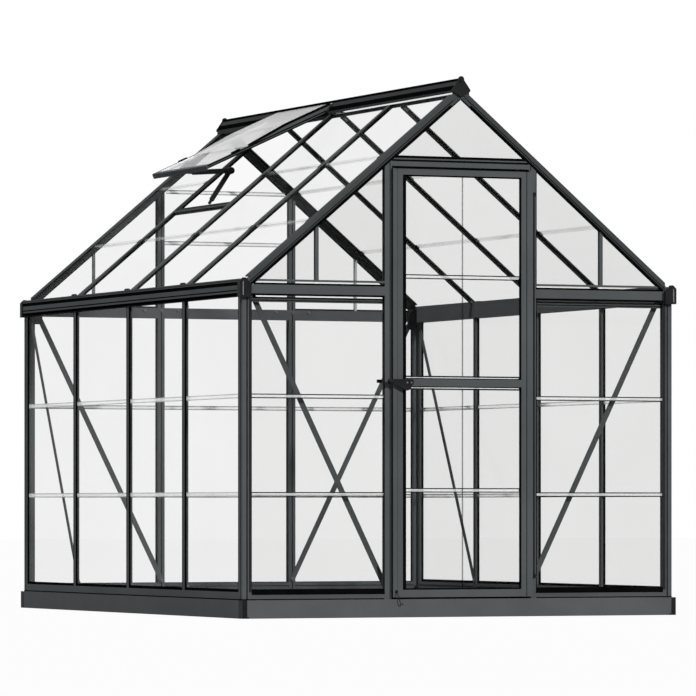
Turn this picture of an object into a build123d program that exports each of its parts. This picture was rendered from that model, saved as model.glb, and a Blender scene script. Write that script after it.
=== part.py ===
"""Hobby greenhouse: slim dark extrusions on a folded steel base, clear panes in three rows,
one hinged door in the front gable and a roof vent propped open on a two-link stay.

Millimetres, +Z up. The ridge runs along Y, the door gable faces -Y, and the origin is the middle
of the footprint on the ground.
"""
import os
from math import atan2, cos, degrees, hypot, radians, sin, tan

from build123d import *

os.makedirs("parts", exist_ok=True)

# Plan: bays are measured between post centres
bay = 607.0
bays_across = 3
bays_along = 4
side_reach = 6.5
base_side_ledge = 8.0
base_end_ledge = 21.0

# Heights above the ground, and the roof
base_height = 70.0
sill_height = 31.0
lower_joint_height = 475.0
upper_joint_height = 851.0
eave_height = 1232.0
roof_seat_rise = 46.3
roof_pitch = 40.0
roof_rows_down = 3

# Panes and the slots that hold their edges
pane_thickness = 4.0
fit_gap = 0.3
edge_gap = 1.5
flange_thickness = 4.0
slot_depth = 7.0

# Glazing bars: side walls and roof, then gables, then corners
bar_width = 24.0
bar_depth = 16.0
end_bar_width = 30.0
end_bar_depth = 24.0
corner_width = 39.0
corner_groove_width = 5.0
face_groove_width = 3.0
face_groove_depth = 2.0
face_groove_inset = 7.5
channel_width = 6.0
channel_depth = 4.0

# Clear strips that join two panes edge to edge
strip_height = 17.0
strip_skin = 1.2
strip_web = 1.6
edge_strip_height = 11.0
rear_joint_rises = (324.0, 543.0)

# Base: folded sheet rails with moulded corners
base_sheet = 2.0
base_top_flange = 52.0
base_foot_flange = 30.0
base_corner_leg = 60.0
base_corner_wall = 4.0
base_corner_front_show = 20.0
base_corner_side_show = 40.0

# Gutters and their end caps
gutter_reach = 11.0
gutter_width = 40.0
gutter_rise = 66.0
gutter_wall = 4.0
gutter_floor = 24.0
gutter_recess = 7.0
gutter_recess_height = 20.0
gutter_groove_height = 4.0
gutter_groove_drops = (5.0, 13.0)
gutter_cap_depth = 13.0
gutter_cap_margin = 4.0
gutter_cap_outer_chamfer = 14.0
gutter_cap_inner_chamfer = 24.0
gutter_skirt_length = 14.0

# Eave beams across the gables: an outer strip, an inner box and, at the front, a rail below
beam_strip_bottom = 6.0
beam_strip_height = 39.0
beam_web_bottom = 16.0
beam_web_height = 19.0
front_box_bottom = 10.0
front_box_height = 31.0
front_rail_drop = 21.0
front_rail_height = 19.0

# Gable rafters, and the slim bars between the gable panes
gable_rafter_face = 33.0
gable_rafter_web = 14.0
gable_rafter_top_flange = 40.0
gable_rafter_low_flange = 30.0
gable_rafter_low_flange_thickness = 4.0
gable_rafter_groove_height = 4.0
gable_rafter_groove_share = 0.6
mullion_width = 14.0
mullion_depth = 16.0
mullion_slot = 4.0
rear_mullion_width = 9.0
rear_mullion_slot = 3.0
foot_bar_rise = 58.0
foot_bar_height = 8.0

# Ridge
ridge_web_half = 20.0
ridge_wing_half = 36.0
ridge_wing_edge = 17.0
ridge_top_half = 5.0
ridge_rise = 35.0
ridge_wall = 3.0
ridge_keel_half = 10.0
ridge_keel_drop = 36.0
ridge_shoulder_drop = 26.0
ridge_cap_thickness = 5.0
ridge_cap_margin = 3.0

# Braces
brace_width = 22.0
brace_thickness = 3.0
brace_top_inset = 49.0
brace_top_rise = 12.0
brace_foot_rise = 45.0

# Roof vent, in the bay behind the middle rafter
vent_side_gap = 4.0
vent_length = 585.0
vent_open_angle = 15.5
vent_lift = 12.0
vent_bar = 22.0
vent_depth = 14.0
vent_sill_place = 475.0
vent_sill_width = 24.0
stay_place = 235.0
stay_link_height = 12.0
stay_link_thickness = 5.0
stay_knuckle_inset = 90.0
stay_knuckle_rise = 134.0
stay_knob_radius = 7.0
stay_knob_length = 21.0
stay_pin_radius = 3.0
stay_pin_length = 8.0
stay_sill_inset = 7.0

# Door and its opening
door_opening_half = 293.0
header_drop = 313.0
header_height = 31.5
header_groove_rise = 20.0
header_groove_height = 5.0
door_side_gap = 6.0
door_top_gap = 6.0
door_foot_gap = 7.0
door_lip = 4.0
door_lip_gap = 5.0
door_lip_reach = 4.0
door_depth = 20.0
door_rebate = 11.0
stile_width = 49.0
top_rail_height = 27.0
middle_rail_bottom = 893.0
middle_rail_height = 29.0
bottom_rail_height = 29.0
door_upper_joint = 1318.0
door_lower_joint = 491.0

# Door hinge: a rod on the post and a sleeve on the door
hinge_low = 150.0
hinge_high = 1655.0
hinge_axis_inset = 18.0
hinge_axis_proud = 5.5
hinge_lip_gap = 5.0
hinge_rod_radius = 2.2
hinge_sleeve_radius = 4.2
hinge_tab = 2.0
hinge_bracket_radius = 3.2
hinge_bracket_width = 9.0
hinge_bracket_height = 15.0
hinge_end_gap = 0.5
running_gap = 0.08

# Latch at the end of the door's middle rail
latch_height_share = 0.42
latch_spindle_inset = 10.0
latch_spindle_radius = 4.0
latch_plate_width = 42.0
latch_plate_height = 22.0
latch_plate_thickness = 3.0
latch_front_gap = 2.0
latch_lever_thickness = 7.0
latch_knob_reach = 76.0
latch_knob_rise = 6.5
latch_knob_radius = 10.0
latch_neck_reach = 70.0
latch_neck_rise = 8.5
latch_neck_radius = 6.5
latch_end_reach = 13.0
latch_end_rise = 5.0
latch_end_radius = 10.0
latch_heel_inset = 5.0
latch_heel_drop = 11.0
latch_heel_radius = 18.0
latch_turn_width = 14.0
latch_turn_length = 26.0
latch_turn_thickness = 6.0
keeper_width = 40.0
keeper_height = 13.0
keeper_depth = 8.0
keeper_overlap = 20.0
keeper_rise = 7.0

# Places worked out from the sizes above
wall_half_x = bays_across * bay / 2 + side_reach
wall_half_y = bays_along * bay / 2
base_half_x = wall_half_x + base_side_ledge
base_half_y = wall_half_y + base_end_ledge
sill_top = base_height + sill_height
slot_width = pane_thickness + 2 * fit_gap
pane_offset = flange_thickness + slot_width / 2
pane_x = wall_half_x - pane_offset
pane_y = wall_half_y - pane_offset
pane_hold = slot_depth - edge_gap
gutter_outer = wall_half_x + gutter_reach
gutter_inner = gutter_outer - gutter_width
gutter_top = eave_height + gutter_rise
pitch = radians(roof_pitch)
ridge_line_height = eave_height + roof_seat_rise + gutter_outer * tan(pitch)
header_bottom = ridge_line_height - header_drop
slope_up = (cos(pitch), 0, sin(pitch))
slope_normal = (-sin(pitch), 0, cos(pitch))
side_post_places = [bay * (i - bays_along / 2) for i in range(1, bays_along)]
door_post_place = door_opening_half + end_bar_width / 2
rear_post_place = bay / 2
corner_inner_x = wall_half_x - corner_width
corner_inner_y = wall_half_y - corner_width
beam_top = eave_height + beam_strip_bottom + beam_strip_height
beam_web_top = eave_height + beam_web_bottom + beam_web_height
gable_soffit = ridge_line_height - gable_rafter_face / cos(pitch)
roof_pane_start = (ridge_web_half + edge_gap) / cos(pitch)
roof_pane_end = (gutter_outer - gutter_wall - slot_depth) / cos(pitch)
roof_row_length = (roof_pane_end - roof_pane_start) / roof_rows_down
strip_thickness = slot_width + 2 * strip_skin
strip_room = strip_web / 2 + fit_gap


def roof_z(x):
    """Height of the outer roof face at a distance x from the ridge line."""
    return ridge_line_height - abs(x) * tan(pitch)


def sheet(left, right, low, high):
    """Rectangle between two pairs of edges in the current sketch."""
    with Locations(((left + right) / 2, (low + high) / 2)):
        Rectangle(right - left, high - low)


def bar_profile(width, depth, hold=slot_depth):
    """Glazing bar: outer face on the x axis, a pane slot in each flank, a bolt channel inside."""
    Rectangle(width, depth, align=(Align.CENTER, Align.MAX))
    with Locations((-width / 2, -flange_thickness), (width / 2, -flange_thickness)):
        Rectangle(2 * hold, slot_width, align=(Align.CENTER, Align.MAX), mode=Mode.SUBTRACT)
    with Locations((0, -depth)):
        Rectangle(channel_width, 2 * channel_depth, mode=Mode.SUBTRACT)


def strip_profile():
    """Clear joint strip: an H whose two slots take the pane edges."""
    Rectangle(strip_thickness, strip_height)
    side = (strip_height - strip_web) / 2
    with Locations((0, strip_height / 2), (0, -strip_height / 2)):
        Rectangle(slot_width, 2 * side, mode=Mode.SUBTRACT)


def pane_rows(low, high, joints):
    """Heights of the panes between a low and a high edge, parted at the joint strips."""
    edges = [low]
    for joint in joints:
        edges += [joint - strip_room, joint + strip_room]
    edges.append(high)
    return list(zip(edges[0::2], edges[1::2]))


def left_bar_plane(y, z):
    return Plane(origin=(-wall_half_x, y, z), x_dir=(0, 1, 0), z_dir=(0, 0, 1))


def front_bar_plane(x, z):
    return Plane(origin=(x, -wall_half_y, z), x_dir=(-1, 0, 0), z_dir=(0, 0, 1))


def rear_bar_plane(x, z):
    return Plane(origin=(x, wall_half_y, z), x_dir=(1, 0, 0), z_dir=(0, 0, 1))


def left_run_plane(y):
    """Section across the left side: x runs inward from the wall face, y upward."""
    return Plane(origin=(-wall_half_x, y, 0), x_dir=(1, 0, 0), z_dir=(0, -1, 0))


def front_run_plane(x):
    """Section across the front gable: x runs inward from the wall face, y upward."""
    return Plane(origin=(x, -wall_half_y, 0), x_dir=(0, 1, 0), z_dir=(1, 0, 0))


def rear_run_plane(x):
    """Section across the rear gable: x runs inward from the wall face, y upward."""
    return Plane(origin=(x, wall_half_y, 0), x_dir=(0, -1, 0), z_dir=(-1, 0, 0))


def roof_plane(depth):
    """Plane of the left slope: x runs along Y, y is the distance down from the ridge line."""
    top = ridge_line_height - depth / cos(pitch)
    return Plane(origin=(0, 0, top), x_dir=(0, 1, 0), z_dir=slope_normal)


def rafter_plane(y):
    """Section across a left rafter, at the gutter: y points out of the roof."""
    start = gutter_outer
    return Plane(origin=(-start, y, roof_z(start)), x_dir=(0, 1, 0), z_dir=slope_up)


# Base rails: folded sheet channels, open to the inside; their webs run on over the corner caps
def base_section():
    """Channel with a foot flange and a wider top flange, its web on the y axis."""
    sheet(0, base_sheet, 0, base_height)
    sheet(0, base_foot_flange, 0, base_sheet)
    sheet(0, base_top_flange, base_height - base_sheet, base_height)


base_run_x = base_half_x - base_corner_leg
base_run_y = base_half_y - base_corner_leg

front_web_end = base_half_x - base_corner_front_show
side_web_end = base_half_y - base_corner_side_show

with BuildPart() as base_front_rail:
    section_plane = Plane(origin=(0, -base_half_y, 0), x_dir=(0, 1, 0), z_dir=(1, 0, 0))
    with BuildSketch(section_plane):
        base_section()
    extrude(amount=base_run_x, both=True)
    with BuildSketch(section_plane):
        sheet(0, base_sheet, 0, base_height)
    extrude(amount=front_web_end, both=True)
base_front_rail.part.label = "base_front_rail"
export_step(base_front_rail.part, "parts/base_front_rail.step")

with BuildPart() as base_rear_rail:
    mirror(base_front_rail.part, about=Plane.XZ)
base_rear_rail.part.label = "base_rear_rail"
export_step(base_rear_rail.part, "parts/base_rear_rail.step")

with BuildPart() as base_side_rails:
    section_plane = Plane(origin=(-base_half_x, 0, 0), x_dir=(1, 0, 0), z_dir=(0, -1, 0))
    with BuildSketch(section_plane):
        base_section()
    extrude(amount=base_run_y, both=True)
    with BuildSketch(section_plane):
        sheet(0, base_sheet, 0, base_height)
    extrude(amount=side_web_end, both=True)
    mirror(about=Plane.YZ)
base_side_rails.part.label = "base_side_rails"
export_step(base_side_rails.part, "parts/base_side_rails.step")

# Base corners: moulded caps, closed on top and on the two outer sides, stepped back where the webs lap them
with BuildPart() as base_corner_caps:
    with BuildSketch(Plane.XY):
        with Locations((-base_half_x, -base_half_y)):
            Rectangle(base_corner_leg, base_corner_leg, align=(Align.MIN, Align.MIN))
    extrude(amount=base_height)
    with BuildSketch(Plane.XY):
        with Locations((-base_half_x + base_corner_wall, -base_half_y + base_corner_wall)):
            Rectangle(base_corner_leg, base_corner_leg, align=(Align.MIN, Align.MIN))
    extrude(amount=base_height - base_corner_wall, mode=Mode.SUBTRACT)
    with BuildSketch(Plane.XY):
        lap = base_sheet + fit_gap
        sheet(-front_web_end - fit_gap, -base_run_x, -base_half_y, -base_half_y + lap)
        sheet(-base_half_x, -base_half_x + lap, -side_web_end - fit_gap, -base_run_y)
    extrude(amount=base_height, mode=Mode.SUBTRACT)
    mirror(about=Plane.YZ)
    mirror(about=Plane.XZ)
base_corner_caps.part.label = "base_corner_caps"
export_step(base_corner_caps.part, "parts/base_corner_caps.step")


# Sills: low rails between the posts, with a slot on top for the panes
def sill_section(depth):
    sheet(0, depth, base_height, sill_top)
    with Locations((pane_offset, sill_top)):
        Rectangle(slot_width, 2 * slot_depth, mode=Mode.SUBTRACT)
    with Locations((depth, base_height + sill_height / 2)):
        Rectangle(2 * channel_depth, channel_width, mode=Mode.SUBTRACT)


side_clear_spans = []
for i in range(bays_along):
    near = bay * (i - bays_along / 2) + bar_width / 2
    far = bay * (i + 1 - bays_along / 2) - bar_width / 2
    side_clear_spans.append((max(near, -corner_inner_y), min(far, corner_inner_y)))

with BuildPart() as side_sills:
    for near, far in side_clear_spans:
        with BuildSketch(left_run_plane(near)):
            sill_section(bar_depth)
        extrude(amount=near - far)
    mirror(about=Plane.YZ)
side_sills.part.label = "side_sills"
export_step(side_sills.part, "parts/side_sills.step")

front_clear_spans = [
    (-corner_inner_x, -door_post_place - end_bar_width / 2),
    (door_post_place + end_bar_width / 2, corner_inner_x),
]
rear_clear_spans = [
    (-corner_inner_x, -rear_post_place - end_bar_width / 2),
    (-rear_post_place + end_bar_width / 2, rear_post_place - end_bar_width / 2),
    (rear_post_place + end_bar_width / 2, corner_inner_x),
]

with BuildPart() as gable_sills:
    for near, far in front_clear_spans:
        with BuildSketch(front_run_plane(near)):
            sill_section(end_bar_depth)
        extrude(amount=far - near)
    for near, far in rear_clear_spans:
        with BuildSketch(rear_run_plane(near)):
            sill_section(end_bar_depth)
        extrude(amount=near - far)
gable_sills.part.label = "gable_sills"
export_step(gable_sills.part, "parts/gable_sills.step")

# Corner posts: L sections with a slot in the end of each leg and a groove in each outer face
post_height = eave_height - base_height
with BuildPart() as corner_posts:
    with BuildSketch(Plane.XY.offset(base_height)):
        with Locations((-wall_half_x, -wall_half_y)):
            Rectangle(corner_width, end_bar_depth, align=(Align.MIN, Align.MIN))
            Rectangle(bar_depth, corner_width, align=(Align.MIN, Align.MIN))
        with Locations((-corner_inner_x, -pane_y)):
            Rectangle(2 * slot_depth, slot_width, mode=Mode.SUBTRACT)
        with Locations((-pane_x, -corner_inner_y)):
            Rectangle(slot_width, 2 * slot_depth, mode=Mode.SUBTRACT)
        with Locations((-wall_half_x + corner_width / 2, -wall_half_y)):
            Rectangle(corner_groove_width, 2 * face_groove_depth, mode=Mode.SUBTRACT)
        with Locations((-wall_half_x, -wall_half_y + corner_width / 2)):
            Rectangle(2 * face_groove_depth, corner_groove_width, mode=Mode.SUBTRACT)
    extrude(amount=post_height)
    mirror(about=Plane.YZ)
    mirror(about=Plane.XZ)
corner_posts.part.label = "corner_posts"
export_step(corner_posts.part, "parts/corner_posts.step")

# Wall posts: slotted glazing bars from the base to the gutters, and up to the rafters in the gables
with BuildPart() as side_wall_posts:
    for y in side_post_places:
        with BuildSketch(left_bar_plane(y, base_height)):
            bar_profile(bar_width, bar_depth)
        extrude(amount=post_height)
    mirror(about=Plane.YZ)
side_wall_posts.part.label = "side_wall_posts"
export_step(side_wall_posts.part, "parts/side_wall_posts.step")

gable_top = ridge_line_height - base_height
gable_underside = Plane(
    origin=(0, 0, gable_soffit), x_dir=(0, 1, 0), z_dir=slope_normal
)

with BuildPart() as rear_wall_posts:
    with BuildSketch(rear_bar_plane(-rear_post_place, base_height)):
        bar_profile(end_bar_width, end_bar_depth)
    extrude(amount=gable_top)
    split(bisect_by=gable_underside, keep=Keep.BOTTOM)
    mirror(about=Plane.YZ)
rear_wall_posts.part.label = "rear_wall_posts"
export_step(rear_wall_posts.part, "parts/rear_wall_posts.step")

with BuildPart() as door_posts:
    with BuildSketch(front_bar_plane(-door_post_place, base_height)):
        bar_profile(end_bar_width, end_bar_depth)
        with Locations((face_groove_inset - end_bar_width / 2, 0)):
            Rectangle(face_groove_width, 2 * face_groove_depth, mode=Mode.SUBTRACT)
    extrude(amount=gable_top)
    split(bisect_by=gable_underside, keep=Keep.BOTTOM)
    mirror(about=Plane.YZ)
door_posts.part.label = "door_posts"
export_step(door_posts.part, "parts/door_posts.step")


# Gutters: open troughs on the side posts, with two grooves in the outer face and a recess below it
def pane_underside(x):
    return roof_z(x) - (flange_thickness + slot_width) / cos(pitch)


with BuildPart() as left_gutter:
    with BuildSketch(left_run_plane(0)):
        outer = -gutter_reach
        inner = outer + gutter_width
        wall_start = inner - gutter_wall
        floor = eave_height + gutter_floor
        with BuildLine():
            Polyline(
                (outer + gutter_recess, eave_height),
                (outer + gutter_recess, eave_height + gutter_recess_height),
                (outer, eave_height + gutter_recess_height),
                (outer, gutter_top),
                (outer + gutter_wall, gutter_top),
                (outer + gutter_wall, floor),
                (wall_start, floor),
                (wall_start, pane_underside(gutter_inner + gutter_wall)),
                (inner, pane_underside(gutter_inner)),
                (inner, eave_height),
                close=True,
            )
        make_face()
        with Locations((pane_offset, eave_height)):
            Rectangle(slot_width, 2 * slot_depth, mode=Mode.SUBTRACT)
        with Locations(*[(outer, gutter_top - drop) for drop in gutter_groove_drops]):
            Rectangle(2 * face_groove_depth, gutter_groove_height, align=(Align.CENTER, Align.MAX),
                      mode=Mode.SUBTRACT)
    extrude(amount=wall_half_y, both=True)
left_gutter.part.label = "left_gutter"
export_step(left_gutter.part, "parts/left_gutter.step")

with BuildPart() as right_gutter:
    mirror(left_gutter.part, about=Plane.YZ)
right_gutter.part.label = "right_gutter"
export_step(right_gutter.part, "parts/right_gutter.step")

# Gutter end caps: moulded plates with chamfered shoulders and a skirt along the gutter's outer face
with BuildPart() as gutter_end_caps:
    cap_outer = -gutter_outer - gutter_cap_margin
    cap_inner = -gutter_inner + gutter_cap_margin
    cap_low = eave_height - gutter_cap_margin
    cap_top = gutter_top + gutter_cap_margin
    with BuildSketch(Plane.XZ.offset(wall_half_y)):
        with BuildLine():
            Polyline(
                (cap_outer, cap_low),
                (cap_outer, cap_top - gutter_cap_outer_chamfer),
                (cap_outer + gutter_cap_outer_chamfer, cap_top),
                (cap_inner - gutter_cap_inner_chamfer, cap_top),
                (cap_inner, cap_top - gutter_cap_inner_chamfer),
                (cap_inner, cap_low),
                close=True,
            )
        make_face()
    extrude(amount=gutter_cap_depth)
    with BuildSketch(Plane.XZ.offset(wall_half_y)):
        sheet(cap_outer, -gutter_outer - fit_gap, cap_low, cap_top - gutter_cap_outer_chamfer)
    extrude(amount=-gutter_skirt_length)
    mirror(about=Plane.YZ)
    mirror(about=Plane.XZ)
gutter_end_caps.part.label = "gutter_end_caps"
export_step(gutter_end_caps.part, "parts/gutter_end_caps.step")


# Eave beams: an outer strip and an inner box joined by a web, with a pane slot above and below
beam_box_start = flange_thickness + slot_width


def beam_section(box_low, box_high):
    strip_low = eave_height + beam_strip_bottom
    web_low = eave_height + beam_web_bottom
    sheet(0, flange_thickness, strip_low, beam_top)
    sheet(0, beam_box_start, web_low, beam_web_top)
    sheet(beam_box_start, end_bar_depth, box_low, box_high)


with BuildPart() as eave_beams:
    with BuildSketch(front_run_plane(-gutter_inner)):
        front_box_low = eave_height + front_box_bottom
        beam_section(front_box_low, front_box_low + front_box_height)
    extrude(amount=gutter_inner - door_post_place - end_bar_width / 2)
    with BuildSketch(front_run_plane(-corner_inner_x)):
        front_rail_low = eave_height - front_rail_drop
        sheet(beam_box_start, end_bar_depth, front_rail_low, front_rail_low + front_rail_height)
    extrude(amount=corner_inner_x - door_post_place - end_bar_width / 2)
    with BuildSketch(rear_run_plane(-rear_post_place - end_bar_width / 2)):
        beam_section(eave_height, beam_top)
    extrude(amount=gutter_inner - rear_post_place - end_bar_width / 2)
    mirror(about=Plane.YZ)
    with BuildSketch(rear_run_plane(0)):
        beam_section(eave_height, beam_top)
    extrude(amount=rear_post_place - end_bar_width / 2, both=True)
eave_beams.part.label = "eave_beams"
export_step(eave_beams.part, "parts/eave_beams.step")

# Door header between the door posts: a groove in its face, a slot on top, its ends cut to the slope
header_top = header_bottom + header_height
with BuildPart() as door_header:
    with BuildSketch(front_run_plane(0)):
        sheet(0, end_bar_depth, header_bottom, header_top)
        with Locations((pane_offset, header_top)):
            Rectangle(slot_width, 2 * slot_depth, mode=Mode.SUBTRACT)
        with Locations((0, header_bottom + header_groove_rise)):
            Rectangle(2 * face_groove_depth, header_groove_height, align=(Align.CENTER, Align.MIN),
                      mode=Mode.SUBTRACT)
    extrude(amount=-door_opening_half)
    split(bisect_by=gable_underside, keep=Keep.BOTTOM)
    mirror(about=Plane.YZ)
door_header.part.label = "door_header"
export_step(door_header.part, "parts/door_header.step")

# Gable rafters: a deep web with a slot below for the gable panes and two flanges that hold the roof;
# each pair meets in a mitre under the ridge
def ridge_outline():
    edge_low = roof_z(ridge_wing_half) + fit_gap
    with BuildLine() as outline:
        Polyline(
            (0, ridge_line_height + ridge_rise),
            (ridge_top_half, ridge_line_height + ridge_rise),
            (ridge_wing_half, edge_low + ridge_wing_edge),
            (ridge_wing_half, edge_low),
            (ridge_web_half, roof_z(ridge_web_half) + fit_gap),
            (ridge_web_half, ridge_line_height - ridge_shoulder_drop),
            (ridge_keel_half, ridge_line_height - ridge_keel_drop),
            (0, ridge_line_height - ridge_keel_drop),
        )
        mirror(about=Plane.YZ)
    make_face(outline.edges())


ridge_side = Plane(origin=(-ridge_web_half, 0, 0), x_dir=(0, 1, 0), z_dir=(1, 0, 0))
gutter_side = Plane(origin=(-gutter_inner, 0, 0), x_dir=(0, 1, 0), z_dir=(1, 0, 0))
beam_seat = Plane.XY.offset(beam_top)
rafter_run = 2 * gutter_outer / cos(pitch)

with BuildPart() as gable_rafters:
    with BuildSketch(rafter_plane(-wall_half_y)):
        sheet(0, gable_rafter_web, -gable_rafter_face, 0)
        sheet(0, gable_rafter_top_flange, -flange_thickness, 0)
        low = -flange_thickness - slot_width
        sheet(0, gable_rafter_low_flange, low - gable_rafter_low_flange_thickness, low)
        with Locations((pane_offset, -gable_rafter_face)):
            Rectangle(slot_width, 2 * slot_depth, mode=Mode.SUBTRACT)
        with Locations((0, -gable_rafter_face * gable_rafter_groove_share)):
            Rectangle(2 * face_groove_depth, gable_rafter_groove_height, mode=Mode.SUBTRACT)
    extrude(amount=rafter_run)
    split(bisect_by=Plane.YZ, keep=Keep.BOTTOM)
    split(bisect_by=gutter_side, keep=Keep.TOP)
    split(bisect_by=beam_seat, keep=Keep.TOP)
    with BuildSketch(Plane.XZ):
        ridge_outline()
    extrude(amount=wall_half_y, both=True, mode=Mode.SUBTRACT)
    mirror(about=Plane.YZ)
    mirror(about=Plane.XZ)
gable_rafters.part.label = "gable_rafters"
export_step(gable_rafters.part, "parts/gable_rafters.step")

# Roof rafters: glazing bars from the gutter wall to the ridge; the outer flange runs on over the gutter
flange_end = Plane(origin=(-gutter_outer + gutter_wall + slot_depth, 0, 0), x_dir=(0, 1, 0), z_dir=(1, 0, 0))
with BuildPart() as left_roof_rafters:
    for y in side_post_places:
        with BuildSketch(rafter_plane(y)):
            bar_profile(bar_width, bar_depth)
        extrude(amount=rafter_run)
    split(bisect_by=gutter_side, keep=Keep.TOP)
    for y in side_post_places:
        with BuildSketch(rafter_plane(y)):
            Rectangle(bar_width, flange_thickness, align=(Align.CENTER, Align.MAX))
        extrude(amount=rafter_run)
    split(bisect_by=flange_end, keep=Keep.TOP)
    split(bisect_by=ridge_side, keep=Keep.BOTTOM)
left_roof_rafters.part.label = "left_roof_rafters"
export_step(left_roof_rafters.part, "parts/left_roof_rafters.step")

with BuildPart() as right_roof_rafters:
    mirror(left_roof_rafters.part, about=Plane.YZ)
right_roof_rafters.part.label = "right_roof_rafters"
export_step(right_roof_rafters.part, "parts/right_roof_rafters.step")


# Ridge: a hollow section whose wings cover the upper pane edges
with BuildPart() as ridge_beam:
    with BuildSketch(Plane.XZ):
        ridge_outline()
        offset(amount=-ridge_wall, kind=Kind.INTERSECTION, mode=Mode.SUBTRACT)
    extrude(amount=wall_half_y, both=True)
ridge_beam.part.label = "ridge_beam"
export_step(ridge_beam.part, "parts/ridge_beam.step")

# Ridge end caps: kite-shaped plates over the ridge's ends and the rafters' mitres
with BuildPart() as ridge_end_caps:
    cap_shoulder = roof_z(ridge_wing_half) + ridge_wing_edge
    with BuildSketch(Plane.XZ.offset(wall_half_y)):
        with BuildLine():
            Polyline(
                (0, ridge_line_height + ridge_rise + ridge_cap_margin),
                (ridge_top_half, ridge_line_height + ridge_rise + ridge_cap_margin),
                (ridge_wing_half + ridge_cap_margin, cap_shoulder + ridge_cap_margin),
                (ridge_wing_half + ridge_cap_margin, cap_shoulder - ridge_cap_margin),
                (0, ridge_line_height - ridge_keel_drop - ridge_cap_margin),
            )
            mirror(about=Plane.YZ)
        make_face()
    extrude(amount=ridge_cap_thickness)
    mirror(about=Plane.XZ)
ridge_end_caps.part.label = "ridge_end_caps"
export_step(ridge_end_caps.part, "parts/ridge_end_caps.step")

# Wall panes: three rows between sill and eave, their edges in the slots
wall_joints = (lower_joint_height, upper_joint_height)
pane_foot = sill_top - slot_depth + fit_gap
side_rows = pane_rows(pane_foot, eave_height + pane_hold, wall_joints)
end_rows = pane_rows(pane_foot, eave_height + beam_web_bottom - edge_gap, wall_joints)

with BuildPart() as left_wall_panes:
    with BuildSketch(Plane(origin=(-pane_x, 0, 0), x_dir=(0, 1, 0), z_dir=(1, 0, 0))):
        for near, far in side_clear_spans:
            for low, high in side_rows:
                sheet(near - pane_hold, far + pane_hold, low, high)
    extrude(amount=pane_thickness / 2, both=True)
left_wall_panes.part.label = "left_wall_panes"
export_step(left_wall_panes.part, "parts/left_wall_panes.step")

with BuildPart() as right_wall_panes:
    mirror(left_wall_panes.part, about=Plane.YZ)
right_wall_panes.part.label = "right_wall_panes"
export_step(right_wall_panes.part, "parts/right_wall_panes.step")

with BuildPart() as front_wall_panes:
    with BuildSketch(Plane.XZ.offset(pane_y)):
        for near, far in front_clear_spans:
            for low, high in end_rows:
                sheet(near - pane_hold, far + pane_hold, low, high)
    extrude(amount=pane_thickness / 2, both=True)
front_wall_panes.part.label = "front_wall_panes"
export_step(front_wall_panes.part, "parts/front_wall_panes.step")

with BuildPart() as rear_wall_panes:
    with BuildSketch(Plane.XZ.offset(-pane_y)):
        for near, far in rear_clear_spans:
            for low, high in end_rows:
                sheet(near - pane_hold, far + pane_hold, low, high)
    extrude(amount=pane_thickness / 2, both=True)
rear_wall_panes.part.label = "rear_wall_panes"
export_step(rear_wall_panes.part, "parts/rear_wall_panes.step")

# Gable panes: sheets under the rafters, above the eave beams and the door header
gable_pane_top = ridge_line_height - (gable_rafter_face - pane_hold) / cos(pitch)
gable_pane_foot = beam_web_top + fit_gap
ridge_keel = ridge_line_height - ridge_keel_drop


def gable_triangle():
    """Everything under the gable panes' sloping edges, down to the ground."""
    reach = gable_pane_top / tan(pitch)
    with BuildLine() as outline:
        Polyline((-reach, 0), (0, gable_pane_top), (reach, 0), close=True)
    make_face(outline.edges())


def gable_sheet(plane, left, right, low, high=ridge_keel - fit_gap):
    """One gable pane, cut to the slope and kept below the ridge."""
    with BuildSketch(plane) as shape:
        gable_triangle()
        with Locations(((left + right) / 2, low)):
            Rectangle(right - left, high - low, align=(Align.CENTER, Align.MIN), mode=Mode.INTERSECT)
    extrude(shape.sketch, amount=pane_thickness / 2, both=True)


mullion_place = bay
mullion_hold = mullion_width / 2 - mullion_slot + edge_gap
rear_mullion_hold = rear_mullion_width / 2 - rear_mullion_slot + edge_gap
corner_hold = gutter_inner - edge_gap
with BuildPart() as front_gable_panes:
    gable_plane = Plane.XZ.offset(pane_y)
    post_edge = door_post_place + end_bar_width / 2 - pane_hold
    gable_sheet(gable_plane, -corner_hold, -mullion_place - mullion_hold, gable_pane_foot)
    gable_sheet(gable_plane, -mullion_place + mullion_hold, -post_edge, gable_pane_foot)
    mirror(about=Plane.YZ)
    centre_edge = door_opening_half + pane_hold
    gable_sheet(gable_plane, -centre_edge, centre_edge, header_top - slot_depth + fit_gap)
front_gable_panes.part.label = "front_gable_panes"
export_step(front_gable_panes.part, "parts/front_gable_panes.step")

rear_gable_joints = [eave_height + rise for rise in rear_joint_rises]
with BuildPart() as rear_gable_panes:
    gable_plane = Plane.XZ.offset(-pane_y)
    post_edge = rear_post_place + end_bar_width / 2 - pane_hold
    gable_sheet(gable_plane, -corner_hold, -mullion_place - rear_mullion_hold, gable_pane_foot)
    gable_sheet(gable_plane, -mullion_place + rear_mullion_hold, -post_edge, gable_pane_foot)
    mirror(about=Plane.YZ)
    centre_edge = rear_post_place - end_bar_width / 2 + pane_hold
    for low, high in pane_rows(gable_pane_foot, ridge_keel - fit_gap, rear_gable_joints):
        gable_sheet(gable_plane, -centre_edge, centre_edge, low, high)
rear_gable_panes.part.label = "rear_gable_panes"
export_step(rear_gable_panes.part, "parts/rear_gable_panes.step")

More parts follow.
